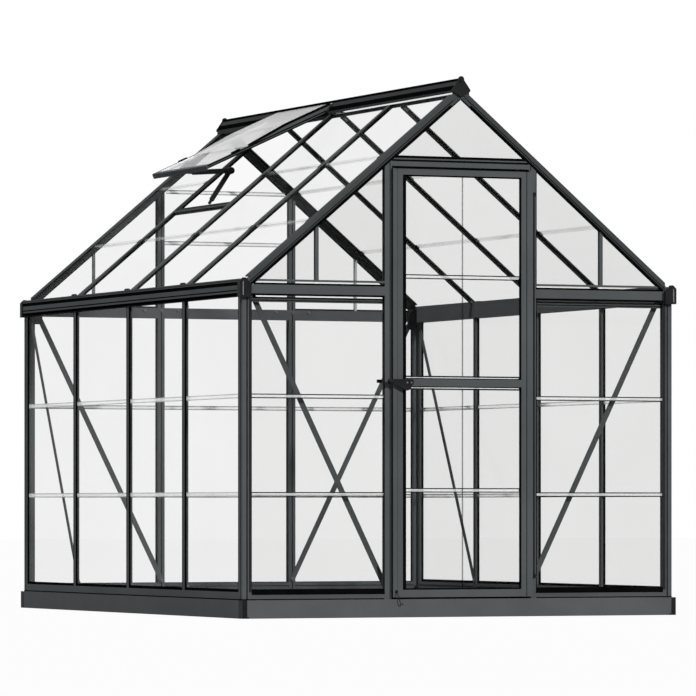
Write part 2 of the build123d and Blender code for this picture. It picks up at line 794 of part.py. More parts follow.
# Gable mullions: short slotted bars in each gable shoulder; the front ones stand on a slim foot bar
foot_bar_low = eave_height + foot_bar_rise
with BuildPart() as gable_mullions:
    with BuildSketch(front_bar_plane(-mullion_place, foot_bar_low)):
        bar_profile(mullion_width, mullion_depth, mullion_slot)
    extrude(amount=gable_top)
    with BuildSketch(front_run_plane(-gutter_inner)):
        sheet(0, flange_thickness, foot_bar_low, foot_bar_low + foot_bar_height)
    extrude(amount=gutter_inner - door_post_place - end_bar_width / 2)
    with BuildSketch(rear_bar_plane(-mullion_place, beam_top)):
        bar_profile(rear_mullion_width, mullion_depth, rear_mullion_slot)
    extrude(amount=gable_top)
    split(bisect_by=gable_underside, keep=Keep.BOTTOM)
    mirror(about=Plane.YZ)
gable_mullions.part.label = "gable_mullions"
export_step(gable_mullions.part, "parts/gable_mullions.step")

# Roof panes: three rows between rafters; the vent's bay stops at the vent sill
roof_edges = [-wall_half_y + gable_rafter_web + edge_gap]
for y in side_post_places:
    web_edge = bar_width / 2 - pane_hold
    roof_edges += [y - web_edge, y + web_edge]
roof_edges.append(wall_half_y - gable_rafter_web - edge_gap)
roof_spans = list(zip(roof_edges[0::2], roof_edges[1::2]))
roof_joints = [roof_pane_start + roof_row_length * i for i in range(1, roof_rows_down)]
roof_rows = pane_rows(roof_pane_start, roof_pane_end, roof_joints)
vent_bay = bays_along // 2
vent_sill_low = vent_sill_place / cos(pitch) + vent_sill_width / 2
vent_row = (vent_sill_low - pane_hold, roof_rows[1][1])

with BuildPart() as left_roof_panes:
    with BuildSketch(roof_plane(pane_offset)):
        for i, (near, far) in enumerate(roof_spans):
            rows = [vent_row, roof_rows[2]] if i == vent_bay else roof_rows
            for low, high in rows:
                sheet(near, far, low, high)
    extrude(amount=pane_thickness / 2, both=True)
left_roof_panes.part.label = "left_roof_panes"
export_step(left_roof_panes.part, "parts/left_roof_panes.step")

with BuildPart() as right_roof_panes:
    with BuildSketch(roof_plane(pane_offset)):
        for near, far in roof_spans:
            for low, high in roof_rows:
                sheet(near, far, low, high)
    extrude(amount=pane_thickness / 2, both=True)
    mirror(about=Plane.YZ, mode=Mode.REPLACE)
right_roof_panes.part.label = "right_roof_panes"
export_step(right_roof_panes.part, "parts/right_roof_panes.step")

# Clear joint strips between the rows of panes
with BuildPart() as wall_joint_strips:
    for joint in wall_joints:
        for near, far in side_clear_spans:
            start = (-pane_x, near + fit_gap, joint)
            with BuildSketch(Plane(origin=start, x_dir=(1, 0, 0), z_dir=(0, 1, 0))):
                strip_profile()
            extrude(amount=far - near - 2 * fit_gap)
    mirror(about=Plane.YZ)
    for joint in wall_joints:
        for place, spans in ((-pane_y, front_clear_spans), (pane_y, rear_clear_spans)):
            for near, far in spans:
                start = (near + fit_gap, place, joint)
                with BuildSketch(Plane(origin=start, x_dir=(0, 1, 0), z_dir=(1, 0, 0))):
                    strip_profile()
                extrude(amount=far - near - 2 * fit_gap)
    for joint in rear_gable_joints:
        under_slope = (gable_soffit - joint - strip_height / 2) / tan(pitch)
        reach = min(rear_post_place - end_bar_width / 2, under_slope) - fit_gap
        with BuildSketch(Plane(origin=(0, pane_y, joint), x_dir=(0, 1, 0), z_dir=(1, 0, 0))):
            strip_profile()
        extrude(amount=reach, both=True)
wall_joint_strips.part.label = "wall_joint_strips"
export_step(wall_joint_strips.part, "parts/wall_joint_strips.step")

strip_edges = [-wall_half_y + gable_rafter_top_flange]
for y in side_post_places:
    strip_edges += [y - bar_width / 2, y + bar_width / 2]
strip_edges.append(wall_half_y - gable_rafter_top_flange)
strip_spans = list(zip(strip_edges[0::2], strip_edges[1::2]))


def roof_strip(distance, near, far):
    """One joint strip of the left slope, at a distance down from the ridge line."""
    place = distance * cos(pitch)
    height = roof_z(place) - pane_offset / cos(pitch)
    start = (-place, near + fit_gap, height)
    with BuildSketch(Plane(origin=start, x_dir=slope_normal, z_dir=(0, 1, 0))) as shape:
        strip_profile()
    extrude(shape.sketch, amount=far - near - 2 * fit_gap)


with BuildPart() as roof_joint_strips:
    for near, far in strip_spans:
        for joint in roof_joints:
            roof_strip(joint, near, far)
    mirror(about=Plane.YZ, mode=Mode.REPLACE)
    for i, (near, far) in enumerate(strip_spans):
        for joint in roof_joints:
            if i != vent_bay or joint > vent_sill_low:
                roof_strip(joint, near, far)
roof_joint_strips.part.label = "roof_joint_strips"
export_step(roof_joint_strips.part, "parts/roof_joint_strips.step")


# Braces: flat bars across the inner faces of the posts
def brace(plane, start, end):
    """A round-ended flat bar between two points of a wall's inner face."""
    across = end[0] - start[0]
    up = end[1] - start[1]
    with BuildSketch(plane) as shape:
        with Locations(((start[0] + end[0]) / 2, (start[1] + end[1]) / 2)):
            SlotCenterToCenter(hypot(across, up), brace_width, rotation=degrees(atan2(up, across)))
    extrude(shape.sketch, amount=brace_thickness)


brace_foot = base_height + brace_foot_rise
brace_top = eave_height + brace_top_rise
with BuildPart() as wall_braces:
    inside = Plane(origin=(0, -wall_half_y + end_bar_depth, 0), x_dir=(-1, 0, 0), z_dir=(0, 1, 0))
    brace(inside, (wall_half_x - brace_top_inset, brace_top), (door_post_place, brace_foot))
    inside = Plane(origin=(0, wall_half_y - end_bar_depth, 0), x_dir=(1, 0, 0), z_dir=(0, -1, 0))
    brace(inside, (-wall_half_x + brace_top_inset, brace_top), (-rear_post_place, brace_foot))
    inside = Plane(origin=(-wall_half_x + bar_depth, 0, 0), x_dir=(0, 1, 0), z_dir=(1, 0, 0))
    side_top = (wall_half_y - end_bar_depth - brace_width / 2 - fit_gap, eave_height - brace_top_rise)
    brace(inside, side_top, (side_post_places[-1], brace_foot))
    mirror(about=Plane.YZ)
wall_braces.part.label = "wall_braces"
export_step(wall_braces.part, "parts/wall_braces.step")

# Roof vent: a framed pane hinged at the ridge wing and held open; it has no motion here
vent_tilt = pitch - radians(vent_open_angle)
vent_normal = (-sin(vent_tilt), 0, cos(vent_tilt))
vent_hinge_x = ridge_wing_half + fit_gap
vent_hinge_z = roof_z(vent_hinge_x) + vent_lift
vent_middle = side_post_places[vent_bay - 1] + bay / 2
vent_half = bay / 2 - vent_side_gap
vent_plane = Plane(origin=(-vent_hinge_x, vent_middle, vent_hinge_z), x_dir=(0, 1, 0), z_dir=vent_normal)

with BuildPart() as vent_frame:
    with BuildSketch(vent_plane):
        sheet(-vent_half, vent_half, 0, vent_length)
    extrude(amount=vent_depth)
    with BuildSketch(vent_plane):
        with Locations((0, vent_length / 2)):
            Rectangle(2 * (vent_half - vent_bar), vent_length - 2 * vent_bar)
    extrude(amount=vent_depth, mode=Mode.SUBTRACT)
    with BuildSketch(vent_plane.offset((vent_depth - slot_width) / 2)):
        with Locations((0, vent_length / 2)):
            Rectangle(2 * (vent_half - vent_bar + slot_depth), vent_length - 2 * (vent_bar - slot_depth))
    extrude(amount=slot_width, mode=Mode.SUBTRACT)
vent_frame.part.label = "vent_frame"
export_step(vent_frame.part, "parts/vent_frame.step")

with BuildPart() as vent_pane:
    with BuildSketch(vent_plane.offset(vent_depth / 2)):
        with Locations((0, vent_length / 2)):
            Rectangle(2 * (vent_half - vent_bar + pane_hold), vent_length - 2 * (vent_bar - pane_hold))
    extrude(amount=pane_thickness / 2, both=True)
vent_pane.part.label = "vent_pane"
export_step(vent_pane.part, "parts/vent_pane.step")

with BuildPart() as vent_sill:
    sill_start, sill_end = strip_spans[vent_bay]
    sill_plane = Plane(
        origin=(-vent_sill_place, sill_start, roof_z(vent_sill_place)), x_dir=slope_up, z_dir=(0, -1, 0)
    )
    with BuildSketch(sill_plane):
        Rectangle(vent_sill_width, bar_depth, align=(Align.CENTER, Align.MAX))
        with Locations((-vent_sill_width / 2, -pane_offset)):
            Rectangle(2 * slot_depth, slot_width, mode=Mode.SUBTRACT)
    extrude(amount=sill_start - sill_end)
vent_sill.part.label = "vent_sill"
export_step(vent_sill.part, "parts/vent_sill.step")

# Vent stay: two links on a pin with a clamping knob, from the sill to the vent's lower bar
stay_radius = stay_link_height / 2
stay_sill_place = vent_sill_place - stay_sill_inset
sill_seat = (-stay_sill_place, roof_z(stay_sill_place) + stay_radius / cos(pitch) + fit_gap)
vent_reach = vent_length - vent_bar / 2
vent_seat = (
    -vent_hinge_x - vent_reach * cos(vent_tilt) + (stay_radius + fit_gap) * sin(vent_tilt),
    vent_hinge_z - vent_reach * sin(vent_tilt) - (stay_radius + fit_gap) * cos(vent_tilt),
)
knuckle = (sill_seat[0] + stay_knuckle_inset, sill_seat[1] + stay_knuckle_rise)


def stay_link(start, end):
    across = end[0] - start[0]
    up = end[1] - start[1]
    with Locations(((start[0] + end[0]) / 2, (start[1] + end[1]) / 2)):
        SlotCenterToCenter(hypot(across, up), stay_link_height, rotation=degrees(atan2(up, across)))


with BuildPart() as vent_stay:
    stay_plane = Plane.XZ.offset(-stay_place)
    with BuildSketch(stay_plane):
        stay_link(sill_seat, knuckle)
    extrude(amount=stay_link_thickness)
    with BuildSketch(stay_plane):
        with Locations(knuckle):
            Circle(stay_knob_radius)
    extrude(amount=stay_knob_length)
    with BuildSketch(stay_plane):
        with Locations(knuckle):
            Circle(stay_pin_radius)
    extrude(amount=-stay_pin_length)
    with BuildSketch(stay_plane.offset(-fit_gap)):
        stay_link(knuckle, vent_seat)
        with Locations(knuckle):
            Circle(stay_pin_radius + running_gap, mode=Mode.SUBTRACT)
    extrude(amount=-stay_link_thickness)
vent_stay.part.label = "vent_stay"
export_step(vent_stay.part, "parts/vent_stay.step")

# Door leaf: two stiles and three rails around four panes; the stiles' front lips lap the posts
door_foot = base_height + door_foot_gap
door_top = header_bottom - door_top_gap
door_front = wall_half_y + door_lip_gap + door_lip
door_slot = door_rebate + slot_width / 2
door_pane_y = door_front - door_slot
door_half = door_opening_half - door_side_gap
hinge_x = door_opening_half + hinge_axis_inset
hinge_y = -wall_half_y - hinge_axis_proud
door_left = -door_half - door_lip_reach
door_right = hinge_x - hinge_lip_gap
pane_left = door_left + stile_width
pane_right = door_right - stile_width
pane_middle = (pane_left + pane_right) / 2
pane_reach = (pane_right - pane_left) / 2
latch_x = pane_left + latch_spindle_inset
latch_height = middle_rail_bottom + middle_rail_height * latch_height_share

with BuildPart() as door_stiles:
    with BuildSketch(Plane(origin=(0, -door_front, door_foot), x_dir=(1, 0, 0), z_dir=(0, 0, 1))):
        sheet(-door_half, pane_left, 0, door_depth)
        sheet(door_left, pane_left, 0, door_lip)
        sheet(pane_right, door_half, 0, door_depth)
        sheet(pane_right, door_right, 0, door_lip)
        with Locations((pane_left, door_slot), (pane_right, door_slot)):
            Rectangle(2 * slot_depth, slot_width, mode=Mode.SUBTRACT)
        with Locations((door_half - face_groove_inset, 0)):
            Rectangle(face_groove_width, 2 * face_groove_depth, mode=Mode.SUBTRACT)
    extrude(amount=door_top - door_foot)
door_stiles.part.label = "door_stiles"
export_step(door_stiles.part, "parts/door_stiles.step")

middle_rail_top = middle_rail_bottom + middle_rail_height
bottom_rail_top = door_foot + bottom_rail_height
top_rail_bottom = door_top - top_rail_height
door_rail_plane = Plane(origin=(pane_middle, -door_front, 0), x_dir=(0, 1, 0), z_dir=(1, 0, 0))
with BuildPart() as door_rails:
    with BuildSketch(door_rail_plane):
        sheet(0, door_depth, door_foot, bottom_rail_top)
        sheet(0, door_depth, middle_rail_bottom, middle_rail_top)
        sheet(0, door_depth, top_rail_bottom, door_top)
        with Locations((door_slot, bottom_rail_top), (door_slot, top_rail_bottom)):
            Rectangle(slot_width, 2 * slot_depth, mode=Mode.SUBTRACT)
    extrude(amount=pane_reach, both=True)
    with BuildSketch(Plane.XZ.offset(door_front)):
        with Locations((latch_x, latch_height)):
            Circle(latch_spindle_radius + running_gap)
    extrude(amount=-door_depth, mode=Mode.SUBTRACT)
door_rails.part.label = "door_rails"
export_step(door_rails.part, "parts/door_rails.step")

# Door panes and strips: an H strip in each half, and an edge strip above and below the middle rail
edge_strip_seat = fit_gap + strip_web + fit_gap
lower_pane_foot = bottom_rail_top - slot_depth + fit_gap
upper_pane_top = top_rail_bottom + pane_hold
lower_rows = pane_rows(lower_pane_foot, middle_rail_bottom - edge_strip_seat, (door_lower_joint,))
upper_rows = pane_rows(middle_rail_top + edge_strip_seat, upper_pane_top, (door_upper_joint,))
with BuildPart() as door_panes:
    with BuildSketch(Plane.XZ.offset(door_pane_y)):
        for low, high in lower_rows + upper_rows:
            sheet(pane_left - pane_hold, pane_right + pane_hold, low, high)
    extrude(amount=pane_thickness / 2, both=True)
door_panes.part.label = "door_panes"
export_step(door_panes.part, "parts/door_panes.step")


def edge_strip_profile():
    """Clear edge strip: a U that stands on the x axis and takes one pane edge."""
    Rectangle(strip_thickness, edge_strip_height, align=(Align.CENTER, Align.MIN))
    with Locations((0, edge_strip_height)):
        Rectangle(slot_width, 2 * (edge_strip_height - strip_web), mode=Mode.SUBTRACT)


with BuildPart() as door_joint_strips:
    for joint in (door_lower_joint, door_upper_joint):
        middle = (pane_middle, -door_pane_y, joint)
        with BuildSketch(Plane(origin=middle, x_dir=(0, 1, 0), z_dir=(1, 0, 0))):
            strip_profile()
        extrude(amount=pane_reach - fit_gap, both=True)
    for height, way in ((middle_rail_top + fit_gap, 1), (middle_rail_bottom - fit_gap, -1)):
        middle = (pane_middle, -door_pane_y, height)
        with BuildSketch(Plane(origin=middle, x_dir=(0, 1, 0), z_dir=(way, 0, 0))):
            edge_strip_profile()
        extrude(amount=pane_reach - fit_gap, both=True)
door_joint_strips.part.label = "door_joint_strips"
export_step(door_joint_strips.part, "parts/door_joint_strips.step")

# Door hinge: a rod held by two brackets on the post, and a long sleeve on the leaf that turns on it
with BuildPart() as hinge_rod:
    with BuildSketch(Plane.XY.offset(hinge_low)):
        with Locations((hinge_x, hinge_y)):
            Circle(hinge_rod_radius)
    extrude(amount=hinge_high - hinge_low)
    for low in (hinge_low, hinge_high - hinge_bracket_height):
        with BuildSketch(Plane.XY.offset(low)):
            with Locations((hinge_x, hinge_y)):
                Circle(hinge_bracket_radius)
                Rectangle(hinge_bracket_width, hinge_axis_proud, align=(Align.MIN, Align.MIN))
        extrude(amount=hinge_bracket_height)
hinge_rod.part.label = "hinge_rod"
export_step(hinge_rod.part, "parts/hinge_rod.step")

sleeve_inset = hinge_bracket_height + hinge_end_gap
with BuildPart() as hinge_sleeve:
    with BuildSketch(Plane.XY.offset(hinge_low + sleeve_inset)):
        with Locations((hinge_x, hinge_y)):
            Circle(hinge_sleeve_radius)
        sheet(door_right, hinge_x, -door_front, -door_front + hinge_tab)
        with Locations((hinge_x, hinge_y)):
            Circle(hinge_rod_radius + running_gap, mode=Mode.SUBTRACT)
    extrude(amount=hinge_high - hinge_low - 2 * sleeve_inset)
hinge_sleeve.part.label = "hinge_sleeve"
export_step(hinge_sleeve.part, "parts/hinge_sleeve.step")

# Latch: a plate on the leaf, a wedge-shaped lever on a spindle through the rail, and a keeper inside the post
with BuildPart() as latch_plate:
    with BuildSketch(Plane.XZ.offset(door_front)):
        with Locations((latch_x, latch_height)):
            RectangleRounded(latch_plate_width, latch_plate_height, latch_spindle_radius)
            Circle(latch_spindle_radius + running_gap, mode=Mode.SUBTRACT)
    extrude(amount=latch_plate_thickness)
latch_plate.part.label = "latch_plate"
export_step(latch_plate.part, "parts/latch_plate.step")

lever_back = door_front + latch_plate_thickness + latch_front_gap
spindle_back = door_front - door_depth - latch_front_gap
with BuildPart() as latch_lever:
    with BuildSketch(Plane.XZ.offset(lever_back)):
        with Locations((latch_x - latch_neck_reach, latch_height + latch_neck_rise)):
            Circle(latch_neck_radius)
        with Locations((latch_x + latch_end_reach, latch_height + latch_end_rise)):
            Circle(latch_end_radius)
        with Locations((latch_x - latch_heel_inset, latch_height - latch_heel_drop)):
            Circle(latch_heel_radius)
        make_hull()
        with Locations((latch_x - latch_knob_reach, latch_height + latch_knob_rise)):
            Circle(latch_knob_radius)
    extrude(amount=latch_lever_thickness)
    with BuildSketch(Plane.XZ.offset(spindle_back)):
        with Locations((latch_x, latch_height)):
            Circle(latch_spindle_radius)
    extrude(amount=lever_back - spindle_back)
    with BuildSketch(Plane.XZ.offset(spindle_back)):
        with Locations((latch_x, latch_height)):
            SlotOverall(latch_turn_length, latch_turn_width)
    extrude(amount=-latch_turn_thickness)
latch_lever.part.label = "latch_lever"
export_step(latch_lever.part, "parts/latch_lever.step")

with BuildPart() as latch_keeper:
    keeper_left = -door_post_place - end_bar_width / 2 - keeper_width + keeper_overlap
    with BuildSketch(Plane.XZ.offset(wall_half_y - end_bar_depth)):
        with Locations((keeper_left, latch_height + keeper_rise)):
            Rectangle(keeper_width, keeper_height, align=(Align.MIN, Align.CENTER))
    extrude(amount=-keeper_depth)
latch_keeper.part.label = "latch_keeper"
export_step(latch_keeper.part, "parts/latch_keeper.step")
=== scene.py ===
"""Looks of the hobby greenhouse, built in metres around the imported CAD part."""
import math

import bmesh
import bpy
from mathutils import Matrix, Vector


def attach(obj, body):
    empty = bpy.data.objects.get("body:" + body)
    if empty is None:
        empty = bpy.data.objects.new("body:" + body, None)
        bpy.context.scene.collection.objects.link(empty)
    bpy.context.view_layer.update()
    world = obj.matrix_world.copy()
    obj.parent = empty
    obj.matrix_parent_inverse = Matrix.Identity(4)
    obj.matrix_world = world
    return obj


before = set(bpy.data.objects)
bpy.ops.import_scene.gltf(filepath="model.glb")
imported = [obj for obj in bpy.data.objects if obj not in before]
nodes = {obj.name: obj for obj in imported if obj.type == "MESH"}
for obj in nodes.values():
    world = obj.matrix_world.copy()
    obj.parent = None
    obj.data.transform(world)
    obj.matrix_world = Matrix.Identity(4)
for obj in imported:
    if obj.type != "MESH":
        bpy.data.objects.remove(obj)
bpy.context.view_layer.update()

# The studio: a white floor and backdrop, soft lamps from the front and the left, a weak one behind, a dim fill.
# The eye sees the floor white, also by way of gloss and clear sheets, with a faint shadow on it.
# The camera stands where the photograph was taken from, level, at about knee height.
def add_node(tree, kind, **values):
    """A new node whose inputs are set by name."""
    made = tree.nodes.new(kind)
    for name, value in values.items():
        made.inputs[name.replace("_", " ")].default_value = value
    return made


def seen_by_eye(tree):
    """1 for rays from the eye, also after gloss or a clear sheet, and 0 for the light that fills."""
    path = add_node(tree, "ShaderNodeLightPath")
    straight = tree.nodes.new("ShaderNodeMath")
    straight.operation = "MAXIMUM"
    tree.links.new(path.outputs["Is Camera Ray"], straight.inputs[0])
    tree.links.new(path.outputs["Is Glossy Ray"], straight.inputs[1])
    either = tree.nodes.new("ShaderNodeMath")
    either.operation = "MAXIMUM"
    tree.links.new(straight.outputs[0], either.inputs[0])
    tree.links.new(path.outputs["Is Transmission Ray"], either.inputs[1])
    return either.outputs[0]


studio = bpy.data.worlds.new("white_studio")
studio.use_nodes = True
studio_tree = studio.node_tree
studio_tree.nodes.clear()
backdrop = add_node(studio_tree, "ShaderNodeBackground", Color=(1, 1, 1, 1), Strength=1.0)
fill_light = add_node(studio_tree, "ShaderNodeBackground", Color=(0.97, 0.99, 1, 1), Strength=0.2)
studio_mix = add_node(studio_tree, "ShaderNodeMixShader")
studio_out = add_node(studio_tree, "ShaderNodeOutputWorld")
studio_tree.links.new(seen_by_eye(studio_tree), studio_mix.inputs[0])
studio_tree.links.new(fill_light.outputs[0], studio_mix.inputs[1])
studio_tree.links.new(backdrop.outputs[0], studio_mix.inputs[2])
studio_tree.links.new(studio_mix.outputs[0], studio_out.inputs["Surface"])
bpy.context.scene.world = studio
bpy.context.scene.view_settings.view_transform = "Standard"
bpy.context.scene.cycles.transparent_max_bounces = 48

lamp_spread = math.radians(6)
lamps = (
    ("front_lamp", 3.8, (-0.5, 0.66, -0.56)),
    ("left_lamp", 2.2, (0.55, 0.1, -0.83)),
    ("back_lamp", 1.5, (-0.25, -0.95, -0.1)),
)
for lamp_name, strength, way in lamps:
    lamp = bpy.data.objects.new(lamp_name, bpy.data.lights.new(lamp_name, "SUN"))
    lamp.data.energy = strength
    lamp.data.angle = lamp_spread
    lamp.rotation_euler = Vector(way).to_track_quat("-Z", "Y").to_euler()
    bpy.context.scene.collection.objects.link(lamp)

floor_half = 45.0
floor_drop = 0.0006
floor_whiteness = 0.97
floor_shape = bmesh.new()
bmesh.ops.create_grid(
    floor_shape, x_segments=8, y_segments=8, size=floor_half, matrix=Matrix.Translation((0, 0, -floor_drop))
)
floor = bpy.data.objects.new("studio_floor", bpy.data.meshes.new("studio_floor"))
floor_shape.to_mesh(floor.data)
floor_shape.free()
bpy.context.scene.collection.objects.link(floor)
floor_paint = bpy.data.materials.new("white_floor")
floor_paint.use_nodes = True
floor_tree = floor_paint.node_tree
floor_tree.nodes.clear()
floor_matt = add_node(floor_tree, "ShaderNodeBsdfDiffuse", Color=(0.2, 0.2, 0.2, 1))
floor_white = add_node(floor_tree, "ShaderNodeEmission", Color=(1, 1, 1, 1), Strength=1.0)
floor_share = floor_tree.nodes.new("ShaderNodeMath")
floor_share.operation = "MULTIPLY"
floor_share.inputs[1].default_value = floor_whiteness
floor_mix = add_node(floor_tree, "ShaderNodeMixShader")
floor_out = add_node(floor_tree, "ShaderNodeOutputMaterial")
floor_tree.links.new(seen_by_eye(floor_tree), floor_share.inputs[0])
floor_tree.links.new(floor_share.outputs[0], floor_mix.inputs[0])
floor_tree.links.new(floor_matt.outputs[0], floor_mix.inputs[1])
floor_tree.links.new(floor_white.outputs[0], floor_mix.inputs[2])
floor_tree.links.new(floor_mix.outputs[0], floor_out.inputs["Surface"])
floor.data.materials.append(floor_paint)

frame_pixels = 696
focal_pixels = 5317.85
axis_right = 365.91
axis_down = 506.71
camera_place = (-8.6258, -19.9832, 0.4274)
camera_turn = math.radians(-23.66)
camera = bpy.data.objects.new("photo_camera", bpy.data.cameras.new("photo_camera"))
camera.data.sensor_width = 36.0
camera.data.lens = focal_pixels / frame_pixels * camera.data.sensor_width
camera.data.shift_x = (frame_pixels / 2 - axis_right) / frame_pixels
camera.data.shift_y = (axis_down - frame_pixels / 2) / frame_pixels
camera.data.clip_end = 200.0
camera.location = camera_place
camera.rotation_euler = (math.radians(90), 0, camera_turn)
bpy.context.scene.collection.objects.link(camera)
bpy.context.scene.camera = camera


# Base rails: folded steel sheet, powder coated dark grey, laid on the ground on all four sides.
# The coat has a fine orange-peel skin and a faint mottle from the spray gun.
def mottled(tree, shader, low, high, mottle):
    """Colour that drifts between two tones, read from the piece's own place."""
    place = add_node(tree, "ShaderNodeTexCoord")
    cloud = add_node(tree, "ShaderNodeTexNoise", Scale=mottle, Detail=4.0, Roughness=0.6)
    tones = add_node(tree, "ShaderNodeValToRGB")
    tones.color_ramp.elements[0].position = 0.32
    tones.color_ramp.elements[0].color = (*low, 1)
    tones.color_ramp.elements[1].position = 0.68
    tones.color_ramp.elements[1].color = (*high, 1)
    tree.links.new(place.outputs["Object"], cloud.inputs["Vector"])
    tree.links.new(cloud.outputs["Fac"], tones.inputs["Fac"])
    tree.links.new(tones.outputs["Color"], shader.inputs["Base Color"])
    return place, cloud


def grained(tree, shader, place, grain, depth, strength):
    """Fine surface grain as a bump."""
    speckle = add_node(tree, "ShaderNodeTexNoise", Scale=grain, Detail=2.0)
    skin = add_node(tree, "ShaderNodeBump", Strength=strength, Distance=depth)
    tree.links.new(place.outputs["Object"], speckle.inputs["Vector"])
    tree.links.new(speckle.outputs["Fac"], skin.inputs["Height"])
    tree.links.new(skin.outputs["Normal"], shader.inputs["Normal"])


def uneven_gloss(tree, shader, cloud, least, most):
    """Roughness that follows the same drift as the colour."""
    gloss = add_node(tree, "ShaderNodeMapRange", From_Min=0.3, From_Max=0.7, To_Min=least, To_Max=most)
    tree.links.new(cloud.outputs["Fac"], gloss.inputs["Value"])
    tree.links.new(gloss.outputs["Result"], shader.inputs["Roughness"])


def powder_coat(name, low, high, mottle):
    coat = bpy.data.materials.new(name)
    coat.use_nodes = True
    tree = coat.node_tree
    shader = tree.nodes["Principled BSDF"]
    shader.inputs["Specular IOR Level"].default_value = 0.004
    place, cloud = mottled(tree, shader, low, high, mottle)
    uneven_gloss(tree, shader, cloud, 0.42, 0.54)
    grained(tree, shader, place, 650.0, 0.0004, 0.08)
    return coat


def dress(material, *names):
    """Gives CAD nodes a finish."""
    for name in names:
        for place in nodes[name].material_slots:
            place.material = material


base_coat = powder_coat("base_steel_coat", (0.078, 0.082, 0.086), (0.092, 0.096, 0.101), 5.0)
dress(base_coat, "base_front_rail", "base_rear_rail", "base_side_rails")


# Base corners: moulded black plastic caps that the rail ends run over, each on a pair of small feet, with a
# painted highlight in light grey down each outer corner edge.
# Moulded plastic has a fine spark-eroded grain and a dull sheen.
def moulded_plastic(name, low, high, sheen):
    plastic = bpy.data.materials.new(name)
    plastic.use_nodes = True
    tree = plastic.node_tree
    shader = tree.nodes["Principled BSDF"]
    shader.inputs["Specular IOR Level"].default_value = sheen
    place, cloud = mottled(tree, shader, low, high, 14.0)
    uneven_gloss(tree, shader, cloud, 0.45, 0.6)
    grained(tree, shader, place, 1100.0, 0.0003, 0.12)
    return plastic


along_x = (1, 0, 0)
along_y = (0, 1, 0)
up = (0, 0, 1)
fine_rounding = 0.0005


def bar(shape, start, end, across, width, depth, rounding=fine_rounding):
    """A straight bar with rounded edges from start to end, its width along the across direction."""
    along = Vector(end) - Vector(start)
    out = along.cross(Vector(across)).normalized()
    place = Matrix((along, Vector(across).normalized() * width, out * depth)).transposed().to_4x4()
    place.translation = (Vector(start) + Vector(end)) / 2
    made = bmesh.ops.create_cube(shape, size=1.0, matrix=place)
    rims = list({edge for corner in made["verts"] for edge in corner.link_edges})
    bmesh.ops.bevel(shape, geom=rims, offset=rounding, affect="EDGES", segments=1, profile=0.5, material=-1)


def run_x(shape, span, y, z, width, depth, rounding=fine_rounding):
    """A level bar along the front or rear, its width upright."""
    bar(shape, (span[0], y, z), (span[1], y, z), up, width, depth, rounding)


def run_y(shape, x, span, z, width, depth, rounding=fine_rounding):
    """A level bar along a side, its width upright."""
    bar(shape, (x, span[0], z), (x, span[1], z), up, width, depth, rounding)


def stand(shape, x, y, span, across, width, depth, rounding=fine_rounding):
    """An upright bar, its width along the across direction."""
    bar(shape, (x, y, span[0]), (x, y, span[1]), across, width, depth, rounding)


def finish_piece(shape, name, material, body):
    """Turns a bmesh into a piece that rides on a body and takes a slot's finish."""
    bmesh.ops.recalc_face_normals(shape, faces=shape.faces[:])
    piece = bpy.data.objects.new(name, bpy.data.meshes.new(name))
    shape.to_mesh(piece.data)
    shape.free()
    piece.data.materials.append(material)
    bpy.context.scene.collection.objects.link(piece)
    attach(piece, body)


black_plastic = moulded_plastic("black_moulded_plastic", (0.007, 0.007, 0.0075), (0.012, 0.012, 0.013), 0.06)
# The grey plastic is the gutter caps' real ribs and also the painted highlight on the base caps' corners.
grey_rib_and_highlight_plastic = moulded_plastic("grey_rib_and_painted_highlight_plastic", (0.16, 0.165, 0.17), (0.21, 0.215, 0.22), 0.2)
dress(black_plastic, "base_corner_caps")
base_x = 0.925
base_y = 1.235
base_top = 0.070
highlight_inset = 0.0038
highlight_span = (0.007, base_top - 0.002)
highlight_width = 0.0042
highlight_depth = 0.003
highlight_rounding = 0.0008
foot_inset = 0.001
foot_size = 0.006
foot_rounding = 0.001
foot_x_span = (0.898, 0.918)
foot_y_span = (1.192, 1.212)
# A light grey strip down each cap's outer corner is a painted highlight of the rounded edge.
corner_highlights = bmesh.new()
corner_feet = bmesh.new()
for side in (-1, 1):
    for end in (-1, 1):
        highlight_x = side * (base_x - highlight_inset)
        highlight_y = end * (base_y - highlight_inset)
        stand(corner_highlights, highlight_x, highlight_y, highlight_span, (side, end, 0), highlight_width, highlight_depth, highlight_rounding)
        run_x(corner_feet, [side * x for x in foot_x_span], end * (base_y - foot_inset), foot_size / 2,
              foot_size, foot_size, foot_rounding)
        run_y(corner_feet, side * (base_x - foot_inset), [end * y for y in foot_y_span], foot_size / 2,
              foot_size, foot_size, foot_rounding)
finish_piece(corner_highlights, "base_corner_painted_highlights", grey_rib_and_highlight_plastic, "frame")
finish_piece(corner_feet, "base_corner_feet", black_plastic, "frame")

# Posts and sills: slotted aluminium extrusions in a dark grey satin coat, bolted to the base.
# The die leaves them straight and even, so the coat's mottle is long and faint.
frame_coat = powder_coat("dark_frame_coat", (0.07, 0.075, 0.078), (0.086, 0.092, 0.095), 3.0)
dress(frame_coat, "corner_posts", "side_wall_posts", "rear_wall_posts", "door_posts", "side_sills", "gable_sills")

